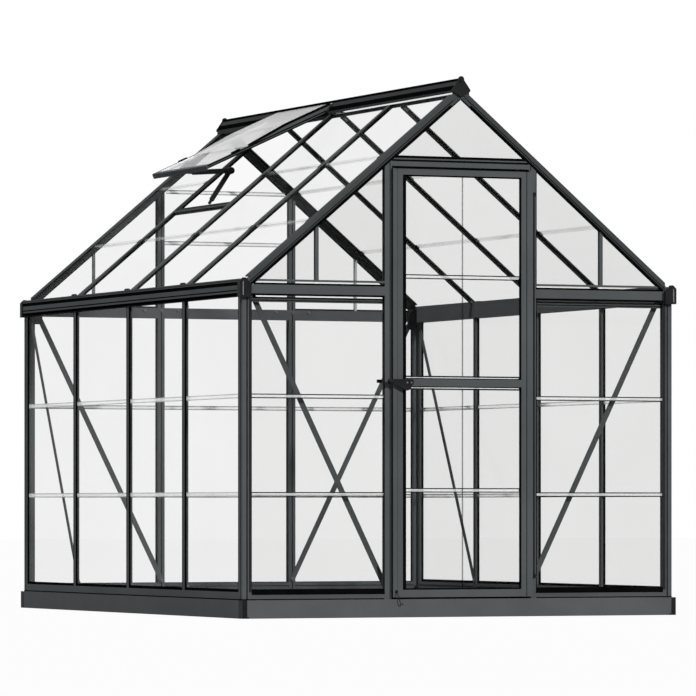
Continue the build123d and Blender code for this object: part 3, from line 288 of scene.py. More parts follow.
# Sill shadow lines and post groove fills: black strips laid under the sills and pressed into the grooves of the
# posts' faces, painted shade.
# The strip under the sills stands a millimetre proud, so a dark painted shadow line shows all round.
# This black serves the real seals and stops, and also the painted shade and shadow lines elsewhere.
black_rubber_and_shade = moulded_plastic("black_seal_rubber_and_painted_shade", (0.002, 0.002, 0.002), (0.004, 0.004, 0.004), 0.0)
wall_x = 0.917
wall_y = 1.214
opening_x = 0.325
shadow_line_height = 0.0044
shadow_line_depth = 0.004
shadow_line_proud = 0.0012
shadow_line_z = base_top + shadow_line_height / 2
sill_shadow_lines = bmesh.new()
for side in (-1, 1):
    shadow_line_x = side * (wall_x + shadow_line_proud - shadow_line_depth / 2)
    run_y(sill_shadow_lines, shadow_line_x, (-wall_y, wall_y), shadow_line_z, shadow_line_height, shadow_line_depth)
    shadow_line_y = -wall_y - shadow_line_proud + shadow_line_depth / 2
    run_x(sill_shadow_lines, (side * opening_x, side * wall_x), shadow_line_y, shadow_line_z, shadow_line_height, shadow_line_depth)
shadow_line_y = wall_y + shadow_line_proud - shadow_line_depth / 2
run_x(sill_shadow_lines, (-wall_x, wall_x), shadow_line_y, shadow_line_z, shadow_line_height, shadow_line_depth)
finish_piece(sill_shadow_lines, "sill_painted_shadow_lines", black_rubber_and_shade, "frame")

eave_z = 1.232
groove_shade_foot = 0.074
groove_shade_depth = 0.0018
corner_groove_shade = 0.0032
door_groove_shade = 0.0026
corner_groove_x = 0.8975
corner_groove_y = 1.1945
door_groove_x = 0.3005
door_post_top = 1.757
corner_span = (groove_shade_foot, eave_z)
# Black fills in the posts' face grooves are painted shade that darkens the grooves.
post_groove_shade = bmesh.new()
for side in (-1, 1):
    for end in (-1, 1):
        groove_y = end * (wall_y - groove_shade_depth / 2)
        stand(post_groove_shade, side * corner_groove_x, groove_y, corner_span, along_x, corner_groove_shade, groove_shade_depth)
        groove_x = side * (wall_x - groove_shade_depth / 2)
        stand(post_groove_shade, groove_x, end * corner_groove_y, corner_span, along_y, corner_groove_shade, groove_shade_depth)
    stand(post_groove_shade, side * door_groove_x, -wall_y + groove_shade_depth / 2, (groove_shade_foot, door_post_top), along_x,
          door_groove_shade, groove_shade_depth)
finish_piece(post_groove_shade, "post_groove_painted_shade", black_rubber_and_shade, "frame")


# Wall panes: thin clear plastic sheets slid into the slots of the posts and sills.
# A sheet passes most light, greys it a little, mirrors more at a slant and ripples very slightly.
def clear_sheet(name, least, most, head_on, at_slant, ripple, polish=(0.03, 0.09), tone=0.96):
    sheet = bpy.data.materials.new(name)
    sheet.use_nodes = True
    tree = sheet.node_tree
    mirror = tree.nodes["Principled BSDF"]
    mirror.inputs["Base Color"].default_value = (tone, tone, tone, 1)
    mirror.inputs["Metallic"].default_value = 1.0
    place = add_node(tree, "ShaderNodeTexCoord")
    cloud = add_node(tree, "ShaderNodeTexNoise", Scale=2.2, Detail=3.0)
    tree.links.new(place.outputs["Object"], cloud.inputs["Vector"])
    uneven_gloss(tree, mirror, cloud, *polish)
    grained(tree, mirror, place, ripple, 0.001, 0.05)
    haze = add_node(tree, "ShaderNodeValToRGB")
    haze.color_ramp.elements[0].position = 0.3
    haze.color_ramp.elements[0].color = (*least, 1)
    haze.color_ramp.elements[1].position = 0.7
    haze.color_ramp.elements[1].color = (*most, 1)
    through = add_node(tree, "ShaderNodeBsdfTransparent")
    slant = add_node(tree, "ShaderNodeLayerWeight", Blend=0.5)
    steep = tree.nodes.new("ShaderNodeMath")
    steep.operation = "POWER"
    steep.inputs[1].default_value = 5.0
    least_mirror = tree.nodes.new("ShaderNodeMath")
    least_mirror.operation = "MULTIPLY_ADD"
    least_mirror.inputs[1].default_value = at_slant
    least_mirror.inputs[2].default_value = head_on
    share = add_node(tree, "ShaderNodeMixShader")
    tree.links.new(cloud.outputs["Fac"], haze.inputs["Fac"])
    tree.links.new(haze.outputs["Color"], through.inputs["Color"])
    tree.links.new(slant.outputs["Facing"], steep.inputs[0])
    tree.links.new(steep.outputs[0], least_mirror.inputs[0])
    tree.links.new(least_mirror.outputs[0], share.inputs[0])
    tree.links.new(through.outputs[0], share.inputs[1])
    tree.links.new(mirror.outputs[0], share.inputs[2])
    tree.links.new(share.outputs[0], tree.nodes["Material Output"].inputs["Surface"])
    return sheet


side_sheet = clear_sheet("side_clear_sheet", (0.951, 0.952, 0.951), (0.958, 0.959, 0.958), 0.003, 0.1, 5.0)
front_sheet = clear_sheet("front_clear_sheet", (0.918, 0.918, 0.916), (0.927, 0.927, 0.925), 0.003, 0.1, 5.0)
rear_sheet = clear_sheet("rear_clear_sheet", (0.97, 0.97, 0.97), (0.98, 0.98, 0.98), 0.003, 0.1, 5.0)
dress(side_sheet, "left_wall_panes", "right_wall_panes")
dress(front_sheet, "front_wall_panes")
dress(rear_sheet, "rear_wall_panes")

# Pane seals: black beads pressed in between the sheets and the bars, on the outer side, partly glazing rubber and
# partly painted shade in the pane rebates.
# Bands of the same black lie on the front sills and the eave strips, partly rubber and partly painted shade; the
# bands on the rail under them are painted shade.
# The corner posts' inner edges carry a flat charcoal strip, painted shade of the recess beside the pane, which
# hides the front bead there.
sill_top = 0.101
pane_face_x = 0.9127
pane_face_y = 1.2097
bead_depth = 0.0038
side_spans = ((-1.175, -0.619), (-0.595, -0.012), (0.012, 0.595), (0.619, 1.175))
front_spans = ((-0.878, -0.323), (0.323, 0.878))
rear_spans = ((-0.878, -0.3185), (-0.2885, 0.2885), (0.3185, 0.878))
side_bead = 0.006
side_top_bead = 0.002
end_bead = 0.004
thin_bead = 0.003
sill_bead = 0.011
strip_foot = 1.238
recess_shade_x = 0.8835
recess_shade_top = 1.2275
recess_shade_proud = 0.0004
recess_shade_width = 0.011
recess_shade_depth = 0.0022
band_proud = 0.0003
band_depth = 0.0016
face_bands = ((0.096, 0.011), (1.2401, 0.0045))
rail_shade_y = -1.2048
rail_shade_bands = ((1.2147, 1.2192), (1.2236, 1.2302))
pane_seals_and_shade = bmesh.new()
post_recess_shade = bmesh.new()
for side in (-1, 1):
    bead_x = side * (pane_face_x + bead_depth / 2)
    for near, far in side_spans:
        for y in (near + side_bead / 2, far - side_bead / 2):
            stand(pane_seals_and_shade, bead_x, y, (sill_top, eave_z), along_y, side_bead, bead_depth)
        run_y(pane_seals_and_shade, bead_x, (near, far), sill_top + sill_bead / 2, sill_bead, bead_depth)
        run_y(pane_seals_and_shade, bead_x, (near, far), eave_z - side_top_bead / 2, side_top_bead, bead_depth)
for end, spans in ((-1, front_spans), (1, rear_spans)):
    bead_y = end * (pane_face_y + bead_depth / 2)
    foot_bead = sill_bead if end < 0 else thin_bead
    for near, far in spans:
        for x in (near + end_bead / 2, far - end_bead / 2):
            if end < 0 and abs(x) > recess_shade_x - recess_shade_width:
                continue
            stand(pane_seals_and_shade, x, bead_y, (sill_top, strip_foot), along_x, end_bead, bead_depth)
        run_x(pane_seals_and_shade, (near, far), bead_y, sill_top + foot_bead / 2, foot_bead, bead_depth)
        run_x(pane_seals_and_shade, (near, far), bead_y, strip_foot - thin_bead / 2, thin_bead, bead_depth)
    for side in (-1, 1):
        stand(post_recess_shade, side * recess_shade_x, end * (wall_y + recess_shade_proud), (sill_top, recess_shade_top), along_x,
              recess_shade_width, recess_shade_depth)
# The bands on the rail behind the front sheets are painted shade of its inner face.
for span in front_spans:
    for height, width in face_bands:
        run_x(pane_seals_and_shade, span, -wall_y - band_proud, height, width, band_depth)
    for low, high in rail_shade_bands:
        run_x(pane_seals_and_shade, span, rail_shade_y, (low + high) / 2, high - low, band_depth)
# The charcoal strips are painted shade of the recessed band beside the corner panes.
charcoal_shade_plastic = moulded_plastic("charcoal_shade_plastic", (0.02, 0.0205, 0.021), (0.026, 0.0265, 0.027), 0.0)
finish_piece(pane_seals_and_shade, "wall_pane_seals_and_shade", black_rubber_and_shade, "frame")
finish_piece(post_recess_shade, "corner_post_painted_shade", charcoal_shade_plastic, "frame")

# Wall joint strips: clear extruded H strips that hold two sheets edge to edge.
# Their four lips are thick beads, darkened as painted shade for the dark lines that the clear edges show, with a
# bright band between; on the front and the door the beads are opaque black.
lip_lift = 0.0032
lip_reach = 0.0068
lip_width = 0.0040
lip_depth = 0.0017
lip_rounding = 0.0006


def strip_lips(shape, start, end, out, across):
    """The four beads of one strip, two on each face."""
    for face in (-1, 1):
        for edge in (-1, 1):
            shift = Vector(out) * face * lip_lift + Vector(across) * edge * lip_reach
            bar(shape, Vector(start) + shift, Vector(end) + shift, across, lip_width, lip_depth, lip_rounding)


def lip_shade_plastic(name, clarity):
    """The beads' plastic, greyed as painted shade, which passes a share of the light at each face."""
    return clear_sheet(name, (clarity - 0.02,) * 3, (clarity + 0.02,) * 3, 0.004, 0.05, 40.0)


clear_strip = clear_sheet("clear_strip", (0.95, 0.955, 0.953), (0.97, 0.975, 0.973), 0.3, 0.4, 40.0)
dress(clear_strip, "wall_joint_strips")
# The front beads' black is painted shade for the dark edge lines of the clear strips.
front_lip_shade = moulded_plastic("front_lip_painted_shade", (0.006, 0.008, 0.007), (0.012, 0.015, 0.014), 0.03)
rear_lip_shade = lip_shade_plastic("rear_lip_painted_shade", 0.79)
side_lip_shade = lip_shade_plastic("side_lip_painted_shade", 0.86)
pane_x = 0.9107
pane_y = 1.2077
wall_joints = (0.475, 0.851)
rear_gable_joints = ((1.556, 0.2885), (1.775, 0.2755))
front_lips = bmesh.new()
rear_lips = bmesh.new()
side_lips = bmesh.new()
for joint in wall_joints:
    for near, far in side_spans:
        for x in (-pane_x, pane_x):
            strip_lips(side_lips, (x, near, joint), (x, far, joint), along_x, up)
    for near, far in front_spans:
        strip_lips(front_lips, (near, -pane_y, joint), (far, -pane_y, joint), along_y, up)
    for near, far in rear_spans:
        strip_lips(rear_lips, (near, pane_y, joint), (far, pane_y, joint), along_y, up)
for joint, reach in rear_gable_joints:
    strip_lips(rear_lips, (-reach, pane_y, joint), (reach, pane_y, joint), along_y, up)
finish_piece(front_lips, "front_strip_lips", front_lip_shade, "frame")
finish_piece(rear_lips, "rear_strip_lips", rear_lip_shade, "frame")
finish_piece(side_lips, "side_strip_lips", side_lip_shade, "frame")

# Gutters and eave beams: coated aluminium; the gutters carry the side walls' top edge and the rafter feet.
# Black bands, painted shade in the grooves and the lower recess, and a coated step strip lie along the gutters'
# outer faces.
# A rounded black cleat holds each rafter foot.
dress(frame_coat, "left_gutter", "right_gutter", "eave_beams")
gutter_span = (-1.199, 1.199)
gutter_shade_rows = ((1.2735, 1.2862, 0.928), (1.2524, 1.2562, 0.928), (1.2325, 1.244, 0.921))
gutter_proud = 0.0001
step_x = 0.9244
step_z = 1.2482
step_height = 0.0072
step_depth = 0.0068
rafter_places = (-0.607, 0.0, 0.607)
cleat_x = 0.919
cleat_z = 1.2985
cleat_half = 0.015
cleat_height = 0.013
cleat_depth = 0.018
cleat_rounding = 0.004
gutter_groove_shade = bmesh.new()
rafter_cleats = bmesh.new()
gutter_steps = bmesh.new()
for side in (-1, 1):
    run_y(gutter_steps, side * step_x, gutter_span, step_z, step_height, step_depth)
    # Each row is a black band of painted shade on the gutter's outer face.
    for low, high, face_x in gutter_shade_rows:
        band_x = side * (face_x + gutter_proud)
        run_y(gutter_groove_shade, band_x, gutter_span, (low + high) / 2, high - low, band_depth)
    for y in rafter_places:
        run_y(rafter_cleats, side * cleat_x, (y - cleat_half, y + cleat_half), cleat_z, cleat_height,
              cleat_depth, cleat_rounding)
finish_piece(gutter_steps, "gutter_steps", frame_coat, "frame")
finish_piece(gutter_groove_shade, "gutter_groove_shade", black_rubber_and_shade, "frame")
finish_piece(rafter_cleats, "rafter_cleats", black_plastic, "frame")

# Rear corner brackets: black moulded angles inside the two rear corners, under the gutters.
# They clamp the braces' upper ends to the beam and the side wall.
bracket_foot = 1.199
bracket_depth = 0.009
bracket_rounding = 0.002
bracket_wings = ((0.876, 1.1824, 1.286, along_x, 0.056), (0.8935, 1.158, 1.23, along_y, 0.05))
brackets = bmesh.new()
for side in (-1, 1):
    for x, y, top, across, width in bracket_wings:
        stand(brackets, side * x, y, (bracket_foot, top), across, width, bracket_depth, bracket_rounding)
finish_piece(brackets, "rear_corner_brackets", black_plastic, "frame")

# Gutter ends: black moulded caps, each with one grey upright rib on its face.
# The rib is moulded on and slightly rounded.
dress(black_plastic, "gutter_end_caps")
rib_x = 0.919
rib_y = wall_y + 0.0135
rib_span = (1.234, 1.287)
rib_width = 0.004
rib_depth = 0.003
rib_rounding = 0.001
cap_ribs = bmesh.new()
for side in (-1, 1):
    for end in (-1, 1):
        stand(cap_ribs, side * rib_x, end * rib_y, rib_span, along_x, rib_width, rib_depth, rib_rounding)
finish_piece(cap_ribs, "gutter_cap_ribs", grey_rib_and_highlight_plastic, "frame")

# Gables: coated rafters, header and slim mullions, with clear sheets between them.
# Black beads run under the rafters and above the header and beams, partly glazing rubber and partly painted
# shade; black fills in the grooves of their faces are painted shade, and a black band over the rafters' lower
# edge is a painted shadow.
dress(frame_coat, "door_header", "gable_mullions")
# The gable rafters' coat is a darker copy of the frame coat, painted shade for their darker look.
rafter_shaded_coat = powder_coat("gable_rafter_shaded_coat", (0.046, 0.05, 0.051), (0.058, 0.062, 0.063), 3.0)
dress(rafter_shaded_coat, "gable_rafters")
gable_sheet = clear_sheet("gable_clear_sheet", (0.89, 0.89, 0.888), (0.9, 0.9, 0.898), 0.003, 0.1, 5.0)
dress(gable_sheet, "front_gable_panes")
dress(rear_sheet, "rear_gable_panes")
pitch = math.radians(40)
ridge_z = 2.05698
beam_top = 1.277


def below_slope(x, drop):
    """Height on the gable at a distance x from the middle, a drop square below the roof's face."""
    return ridge_z - drop / math.cos(pitch) - abs(x) * math.tan(pitch)


def slope_bar(shape, side, span, y, drop, width, depth):
    """A bar down one slope, a drop square below the roof's face."""
    across = (side * math.sin(pitch), 0, math.cos(pitch))
    ends = [(side * x, y, below_slope(x, drop)) for x in span]
    bar(shape, *ends, across, width, depth)


rafter_face = 0.033
slope_bead = 0.005
middle_span = (0.002, 0.284)
pane_reach = 0.87
rafter_shadow_band = 0.0095
rafter_shadow_drop = 0.0302
rafter_shadow_span = (0.04, 0.88)
rafter_groove_shade = 0.003
rafter_groove_shade_drop = 0.0198
rafter_groove_shade_span = (0.03, 0.885)
beam_bead = 0.007
header_top = 1.7755
header_bead = 0.01
header_bead_half = 0.277
header_groove_shade = 0.0075
header_groove_shade_depth = 0.0022
header_groove_shade_half = 0.2925
header_groove_shade_y = -wall_y + 0.0007
header_groove_shade_z = 1.7665
post_edges = ((-1, 0.323), (1, 0.3185))
# The black band low on each rafter face is a painted shadow; the rafter and header groove fills are painted
# shade.
gable_seals_and_shade = bmesh.new()
for end, post in post_edges:
    bead_y = end * (pane_face_y + bead_depth / 2)
    groove_y = end * (wall_y - groove_shade_depth / 2)
    for side in (-1, 1):
        for span in (middle_span, (post, pane_reach)):
            slope_bar(gable_seals_and_shade, side, span, bead_y, rafter_face + slope_bead / 2, slope_bead, bead_depth)
        slope_bar(gable_seals_and_shade, side, rafter_shadow_span, end * (wall_y + band_proud), rafter_shadow_drop,
                  rafter_shadow_band, band_depth)
        slope_bar(gable_seals_and_shade, side, rafter_groove_shade_span, groove_y, rafter_groove_shade_drop, rafter_groove_shade, groove_shade_depth)
        run_x(gable_seals_and_shade, (side * post, side * pane_reach), bead_y, beam_top + beam_bead / 2, beam_bead,
              bead_depth)
        stand(gable_seals_and_shade, side * (post + end_bead / 2), bead_y, (beam_top, below_slope(post, rafter_face)),
              along_x, end_bead, bead_depth)
run_x(gable_seals_and_shade, (-header_bead_half, header_bead_half), -pane_face_y - bead_depth / 2,
      header_top + header_bead / 2, header_bead, bead_depth)
run_x(gable_seals_and_shade, (-header_groove_shade_half, header_groove_shade_half), header_groove_shade_y, header_groove_shade_z, header_groove_shade,
      header_groove_shade_depth)
finish_piece(gable_seals_and_shade, "gable_seals_and_shade", black_rubber_and_shade, "frame")

# Rear mullion covers: pale moulded sleeves clipped round the two slim bars of the rear gable.
# They run from the eave beam up to the rafters' lower flange.
sleeve_plastic = moulded_plastic("pale_sleeve_plastic", (0.36, 0.37, 0.37), (0.44, 0.45, 0.45), 0.1)
sleeve_x = 0.607
sleeve_y = wall_y - 0.008
sleeve_span = (beam_top + 0.0005, below_slope(0.612, rafter_face))
sleeve_width = 0.0098
sleeve_depth = 0.0168
sleeves = bmesh.new()
for side in (-1, 1):
    stand(sleeves, side * sleeve_x, sleeve_y, sleeve_span, along_x, sleeve_width, sleeve_depth)
finish_piece(sleeves, "rear_mullion_covers", sleeve_plastic, "frame")

# Roof: rafters from the gutters to the ridge, sheets in three rows, clear strips between the rows.
# Black strips on the rafters' flanks under the sheets are painted shade, and black clips hold the strips' ends.
dress(frame_coat, "left_roof_rafters", "right_roof_rafters")
roof_sheet = clear_sheet("roof_clear_sheet", (0.96, 0.961, 0.96), (0.967, 0.968, 0.967), 0.003, 0.02, 5.0)
dress(roof_sheet, "left_roof_panes", "right_roof_panes")
roof_strip = clear_sheet("roof_clear_strip", (0.955, 0.96, 0.958), (0.97, 0.975, 0.973), 0.05, 0.12, 40.0)
dress(roof_strip, "roof_joint_strips")
# The roof beads' grey is painted shade for the strips' dark edge lines.
roof_lip_shade = lip_shade_plastic("roof_lip_painted_shade", 0.93)
roof_joints = (0.3200, 0.6185)
roof_spans = ((-1.174, -0.619), (-0.595, -0.012), (0.012, 0.595), (0.619, 1.174))
vent_span = roof_spans[2]
strip_drop = 0.0063
flank_offset = 0.0124
flank_span = (0.042, 0.878)
flank_drop = 0.0123
flank_height = 0.0072
flank_depth = 0.0014
clip_inset = 0.006
clip_lift = 0.0035
clip_above = 0.006
clip_below = 0.016
clip_width = 0.011
clip_depth = 0.006
clip_rounding = 0.0015
roof_lips = bmesh.new()
strip_clips = bmesh.new()
rafter_flank_shade = bmesh.new()
for side in (-1, 1):
    out = Vector((side * math.sin(pitch), 0, math.cos(pitch)))
    down = Vector((side * math.cos(pitch), 0, -math.sin(pitch)))
    # Black strips on both flanks of each rafter: painted shade of the flanks under their flanges.
    for y in rafter_places:
        for flank_y in (y - flank_offset, y + flank_offset):
            slope_bar(rafter_flank_shade, side, flank_span, flank_y, flank_drop, flank_height, flank_depth)
    for joint in roof_joints:
        height = below_slope(joint, strip_drop)
        for near, far in roof_spans:
            if side < 0 and joint == roof_joints[0] and (near, far) == vent_span:
                continue
            strip_lips(roof_lips, (side * joint, near, height), (side * joint, far, height), out, down)
            for clip_y in (near + clip_inset, far - clip_inset):
                clip = Vector((side * joint, clip_y, height)) + out * clip_lift
                bar(strip_clips, clip - down * clip_above, clip + down * clip_below, along_y, clip_width,
                    clip_depth, clip_rounding)
finish_piece(roof_lips, "roof_strip_lips", roof_lip_shade, "frame")
finish_piece(strip_clips, "roof_strip_clips", black_plastic, "frame")
finish_piece(rafter_flank_shade, "rafter_flank_painted_shade", black_rubber_and_shade, "frame")

# Ridge: a hollow coated extrusion with black end caps and round knobs that close its bore.
# Black bands lie along the crest and the lower part of its sides.
# A glossy clear strip runs along each wing's lower edge, on the left only up to the vent.
# The ridge's coat is a darker copy of the frame coat, painted shade for its darker look.
ridge_shaded_coat = powder_coat("ridge_shaded_coat", (0.032, 0.034, 0.036), (0.042, 0.045, 0.047), 3.0)
dress(ridge_shaded_coat, "ridge_beam")
dress(black_plastic, "ridge_end_caps")
gloss_strip = clear_sheet("gloss_clear_strip", (0.95, 0.955, 0.953), (0.97, 0.975, 0.973), 0.8, 0.15, 40.0)
crest = Vector((0.005, 0, 2.09198))
shoulder = Vector((0.036, 0, 2.04407))
ridge_half = 1.2135
ridge_rows = ((0.0005, 0.013), (0.034, 0.0225))
ridge_band_depth = 0.0018
wing_strip_x = 0.0363
wing_strip_z = 2.0312
wing_strip_height = 0.0068
wing_strip_depth = 0.0014
vent_end = -0.001
ridge_bands = bmesh.new()
ridge_strips = bmesh.new()
for side in (-1, 1):
    turn = Matrix.Diagonal((side, 1, 1))
    slope = turn @ (shoulder - crest).normalized()
    reach = Vector((0, ridge_half, 0))
    for start, width in ridge_rows:
        middle = turn @ crest + slope * (start + width / 2)
        bar(ridge_bands, middle - reach, middle + reach, slope, width, ridge_band_depth)
    far = vent_end if side < 0 else ridge_half
    run_y(ridge_strips, side * wing_strip_x, (-ridge_half, far), wing_strip_z, wing_strip_height,
          wing_strip_depth)
knob_radius = 0.012
knob_depth = 0.009
knob_rounding = 0.002
knob_y = 1.2175
knob_z = 2.0875
lying = Matrix.Rotation(math.radians(90), 4, "X")
ridge_knobs = bmesh.new()
for end in (-1, 1):
    made = bmesh.ops.create_cone(
        ridge_knobs, cap_ends=True, segments=24, radius1=knob_radius, radius2=knob_radius, depth=knob_depth,
        matrix=Matrix.Translation((0, end * knob_y, knob_z)) @ lying,
    )
    rims = list({edge for corner in made["verts"] for edge in corner.link_edges
                 if max(len(face.verts) for face in edge.link_faces) > 4})
    bmesh.ops.bevel(ridge_knobs, geom=rims, offset=knob_rounding, affect="EDGES", segments=3, profile=0.5,
                    material=-1)
finish_piece(ridge_knobs, "ridge_knobs", black_plastic, "frame")
finish_piece(ridge_bands, "ridge_bands", black_rubber_and_shade, "frame")
finish_piece(ridge_strips, "ridge_edge_strips", gloss_strip, "frame")

# Roof vent: a coated frame round a clear sheet, hinged under the ridge wing and propped open.
# Black seals and clips line its sides, a coated drip edge its foot and a pale strip its far bar.
dress(frame_coat, "vent_frame", "vent_sill")
vent_sheet = clear_sheet(
    "vent_clear_sheet", (0.87, 0.87, 0.868), (0.89, 0.89, 0.888), 0.01, 0.5, 5.0, (0.25, 0.35), 0.72
)
dress(vent_sheet, "vent_pane")
vent_tilt = math.radians(24.5)
vent_hinge = Vector((-0.0363, 0.3035, 2.0385))
vent_down = Vector((-math.cos(vent_tilt), 0, -math.sin(vent_tilt)))
vent_out = Vector((-math.sin(vent_tilt), 0, math.cos(vent_tilt)))
vent_half = 0.3
vent_seal_run = (0.004, 0.581)
vent_seal_lifts = (0.0026, 0.0116)
vent_seal_height = 0.0052
vent_seal_depth = 0.0022
vent_clip_half = 0.29
vent_clip_lift = 0.0165
vent_clip_run = (0.42, 0.458)
vent_clip_width = 0.021
vent_clip_depth = 0.0055
vent_clip_rounding = 0.0012


def vent_bar(shape, y, lift, run, across, width, depth, rounding=fine_rounding):
    """A bar down the vent's slope, beside its middle and lifted off its lower face."""
    edge = vent_hinge + Vector((0, y, 0)) + vent_out * lift
    bar(shape, edge + vent_down * run[0], edge + vent_down * run[1], across, width, depth, rounding)


vent_seals = bmesh.new()
for side in (-1, 1):
    for lift in vent_seal_lifts:
        vent_bar(vent_seals, side * vent_half, lift, vent_seal_run, vent_out, vent_seal_height, vent_seal_depth)
    vent_bar(vent_seals, side * vent_clip_half, vent_clip_lift, vent_clip_run, along_y, vent_clip_width,
             vent_clip_depth, vent_clip_rounding)
finish_piece(vent_seals, "vent_seals", black_rubber_and_shade, "frame")

drip_place = vent_hinge + vent_down * 0.5862 + vent_out * 0.0035
drip_reach = Vector((0, 0.2985, 0))
drip_height = 0.021
drip_depth = 0.0026
vent_drip = bmesh.new()
bar(vent_drip, drip_place - drip_reach, drip_place + drip_reach, vent_out, drip_height, drip_depth)
finish_piece(vent_drip, "vent_drip_edge", frame_coat, "frame")

pale_plastic = moulded_plastic("pale_edge_plastic", (0.72, 0.73, 0.73), (0.82, 0.83, 0.83), 0.2)
far_bar_y = 0.2768
far_bar_lift = 0.007
far_bar_run = (0.022, 0.563)
far_bar_height = 0.0134
far_bar_depth = 0.0012
vent_edges = bmesh.new()
vent_bar(vent_edges, far_bar_y, far_bar_lift, far_bar_run, vent_out, far_bar_height, far_bar_depth)
finish_piece(vent_edges, "vent_edge_strip", pale_plastic, "frame")

# Vent hinge flap: a bowed clear sheet from the ridge's side over the vent's upper part, against rain.
# A black rim stiffens its near edge, and two coated cheeks under it close its ends.
flap_sheet = clear_sheet(
    "flap_clear_sheet", (0.9, 0.9, 0.898), (0.92, 0.92, 0.918), 0.02, 0.6, 5.0, (0.25, 0.35), 0.85
)
flap_head = Vector((-0.0147, 0, 2.0798))
flap_foot = Vector((vent_hinge.x, 0, vent_hinge.z)) + vent_down * 0.38 + vent_out * 0.0147
flap_out = Vector(along_y).cross(flap_foot - flap_head).normalized()
flap_bow = flap_head.lerp(flap_foot, 0.55) + flap_out * 0.008
flap_line = (flap_head, flap_bow, flap_foot)
flap_skin = flap_out * 0.0012
flap_near = 0.005
flap_far = 0.602


def prism(shape, outline, near, far):
    """A plate with the given outline in the upright plane across the ridge, from near to far along it."""
    near_ring = [shape.verts.new((corner.x, near, corner.z)) for corner in outline]
    far_ring = [shape.verts.new((corner.x, far, corner.z)) for corner in outline]
    shape.faces.new(near_ring)
    shape.faces.new(far_ring)
    for first in range(len(outline)):
        second = (first + 1) % len(outline)
        shape.faces.new((near_ring[first], near_ring[second], far_ring[second], far_ring[first]))


hinge_flap = bmesh.new()
flap_under = [corner - flap_skin for corner in flap_line]
prism(hinge_flap, [*flap_line, *reversed(flap_under)], flap_near, flap_far)
finish_piece(hinge_flap, "vent_hinge_flap", flap_sheet, "frame")

rim_rise = flap_out * 0.0065
rim_sink = flap_out * 0.003
rim_span = (flap_near - 0.0012, flap_near + 0.006)
rim_line = (flap_head.lerp(flap_bow, 0.06), flap_bow, flap_foot)
rim_outline = [corner + rim_rise for corner in rim_line] + [corner - rim_sink for corner in reversed(rim_line)]
flap_rim = bmesh.new()
prism(flap_rim, rim_outline, *rim_span)
finish_piece(flap_rim, "vent_flap_rim", black_rubber_and_shade, "frame")

cheek_depth = 0.005
cheek_foot = (Vector((-0.0439, 0, 2.0503)), Vector((-0.0363, 0, 2.0456)))
cheeks = bmesh.new()
for near, far in ((flap_near, flap_near + cheek_depth), (flap_far - cheek_depth, flap_far)):
    prism(cheeks, [*flap_under, *cheek_foot], near, far)
finish_piece(cheeks, "vent_hinge_cheeks", frame_coat, "frame")

# Vent stay: two black moulded links between the vent's sill and its lower bar, pinned at a knuckle.
# Rounded covers lie over the links' faces, and a tapered knob clamps the knuckle.
dress(black_plastic, "vent_stay")
stay_foot = Vector((-0.468, 0, 1.6724))
stay_knuckle = Vector((-0.378, 0, 1.8064))
stay_head = Vector((-0.556, 0, 1.7948))
stay_links = ((stay_foot, stay_knuckle, 0.2325), (stay_knuckle, stay_head, 0.2378))
stay_end = 0.012
stay_width = 0.021
stay_depth = 0.0085
stay_rounding = 0.003
clamp_radii = (0.0165, 0.014)
clamp_length = 0.026
clamp_place = stay_knuckle + Vector((0, 0.2265, 0))
stay_covers = bmesh.new()
for start, stop, y in stay_links:
    run = (stop - start).normalized()
    shift = Vector((0, y, 0))
    bar(stay_covers, start + shift + run * stay_end, stop + shift - run * stay_end, run.cross(Vector(along_y)),
        stay_width, stay_depth, stay_rounding)
bmesh.ops.create_cone(
    stay_covers, cap_ends=True, segments=20, radius1=clamp_radii[0], radius2=clamp_radii[1], depth=clamp_length,
    matrix=Matrix.Translation(clamp_place) @ lying,
)
finish_piece(stay_covers, "vent_stay_covers", black_plastic, "frame")

# Braces: flat coated bars bolted across the corner bays.
# They are cut from strip, so their coat is the same as the posts'.
dress(frame_coat, "wall_braces")


# Bolts: plated hex heads on washers, run in the extrusions' channels from inside.
# The plating has dulled to a dark grey.
def bolt(shape, place, out, size):
    """A chamfered hex head on a round washer, its axis along out."""
    turn = Vector(up).rotation_difference(Vector(out)).to_matrix().to_4x4()
    seat = Matrix.Translation(place) @ turn
    bmesh.ops.create_cone(
        shape, cap_ends=True, segments=16, radius1=1.15 * size, radius2=1.05 * size, depth=0.2 * size,
        matrix=seat @ Matrix.Translation((0, 0, 0.1 * size)),
    )
    head = bmesh.ops.create_cone(
        shape, cap_ends=True, segments=6, radius1=0.72 * size, radius2=0.72 * size, depth=0.6 * size,
        matrix=seat @ Matrix.Translation((0, 0, 0.45 * size)),
    )
    top = max((face for corner in head["verts"] for face in corner.link_faces),
              key=lambda face: face.calc_center_median().dot(Vector(out)))
    bmesh.ops.bevel(shape, geom=list(top.edges), offset=0.12 * size, affect="EDGES", segments=1, profile=0.5,
                    material=-1)


def plated_steel(name, low, high):
    steel = bpy.data.materials.new(name)
    steel.use_nodes = True
    tree = steel.node_tree
    shader = tree.nodes["Principled BSDF"]
    shader.inputs["Metallic"].default_value = 1.0
    place, cloud = mottled(tree, shader, low, high, 60.0)
    uneven_gloss(tree, shader, cloud, 0.3, 0.45)
    grained(tree, shader, place, 1500.0, 0.0002, 0.1)
    return steel


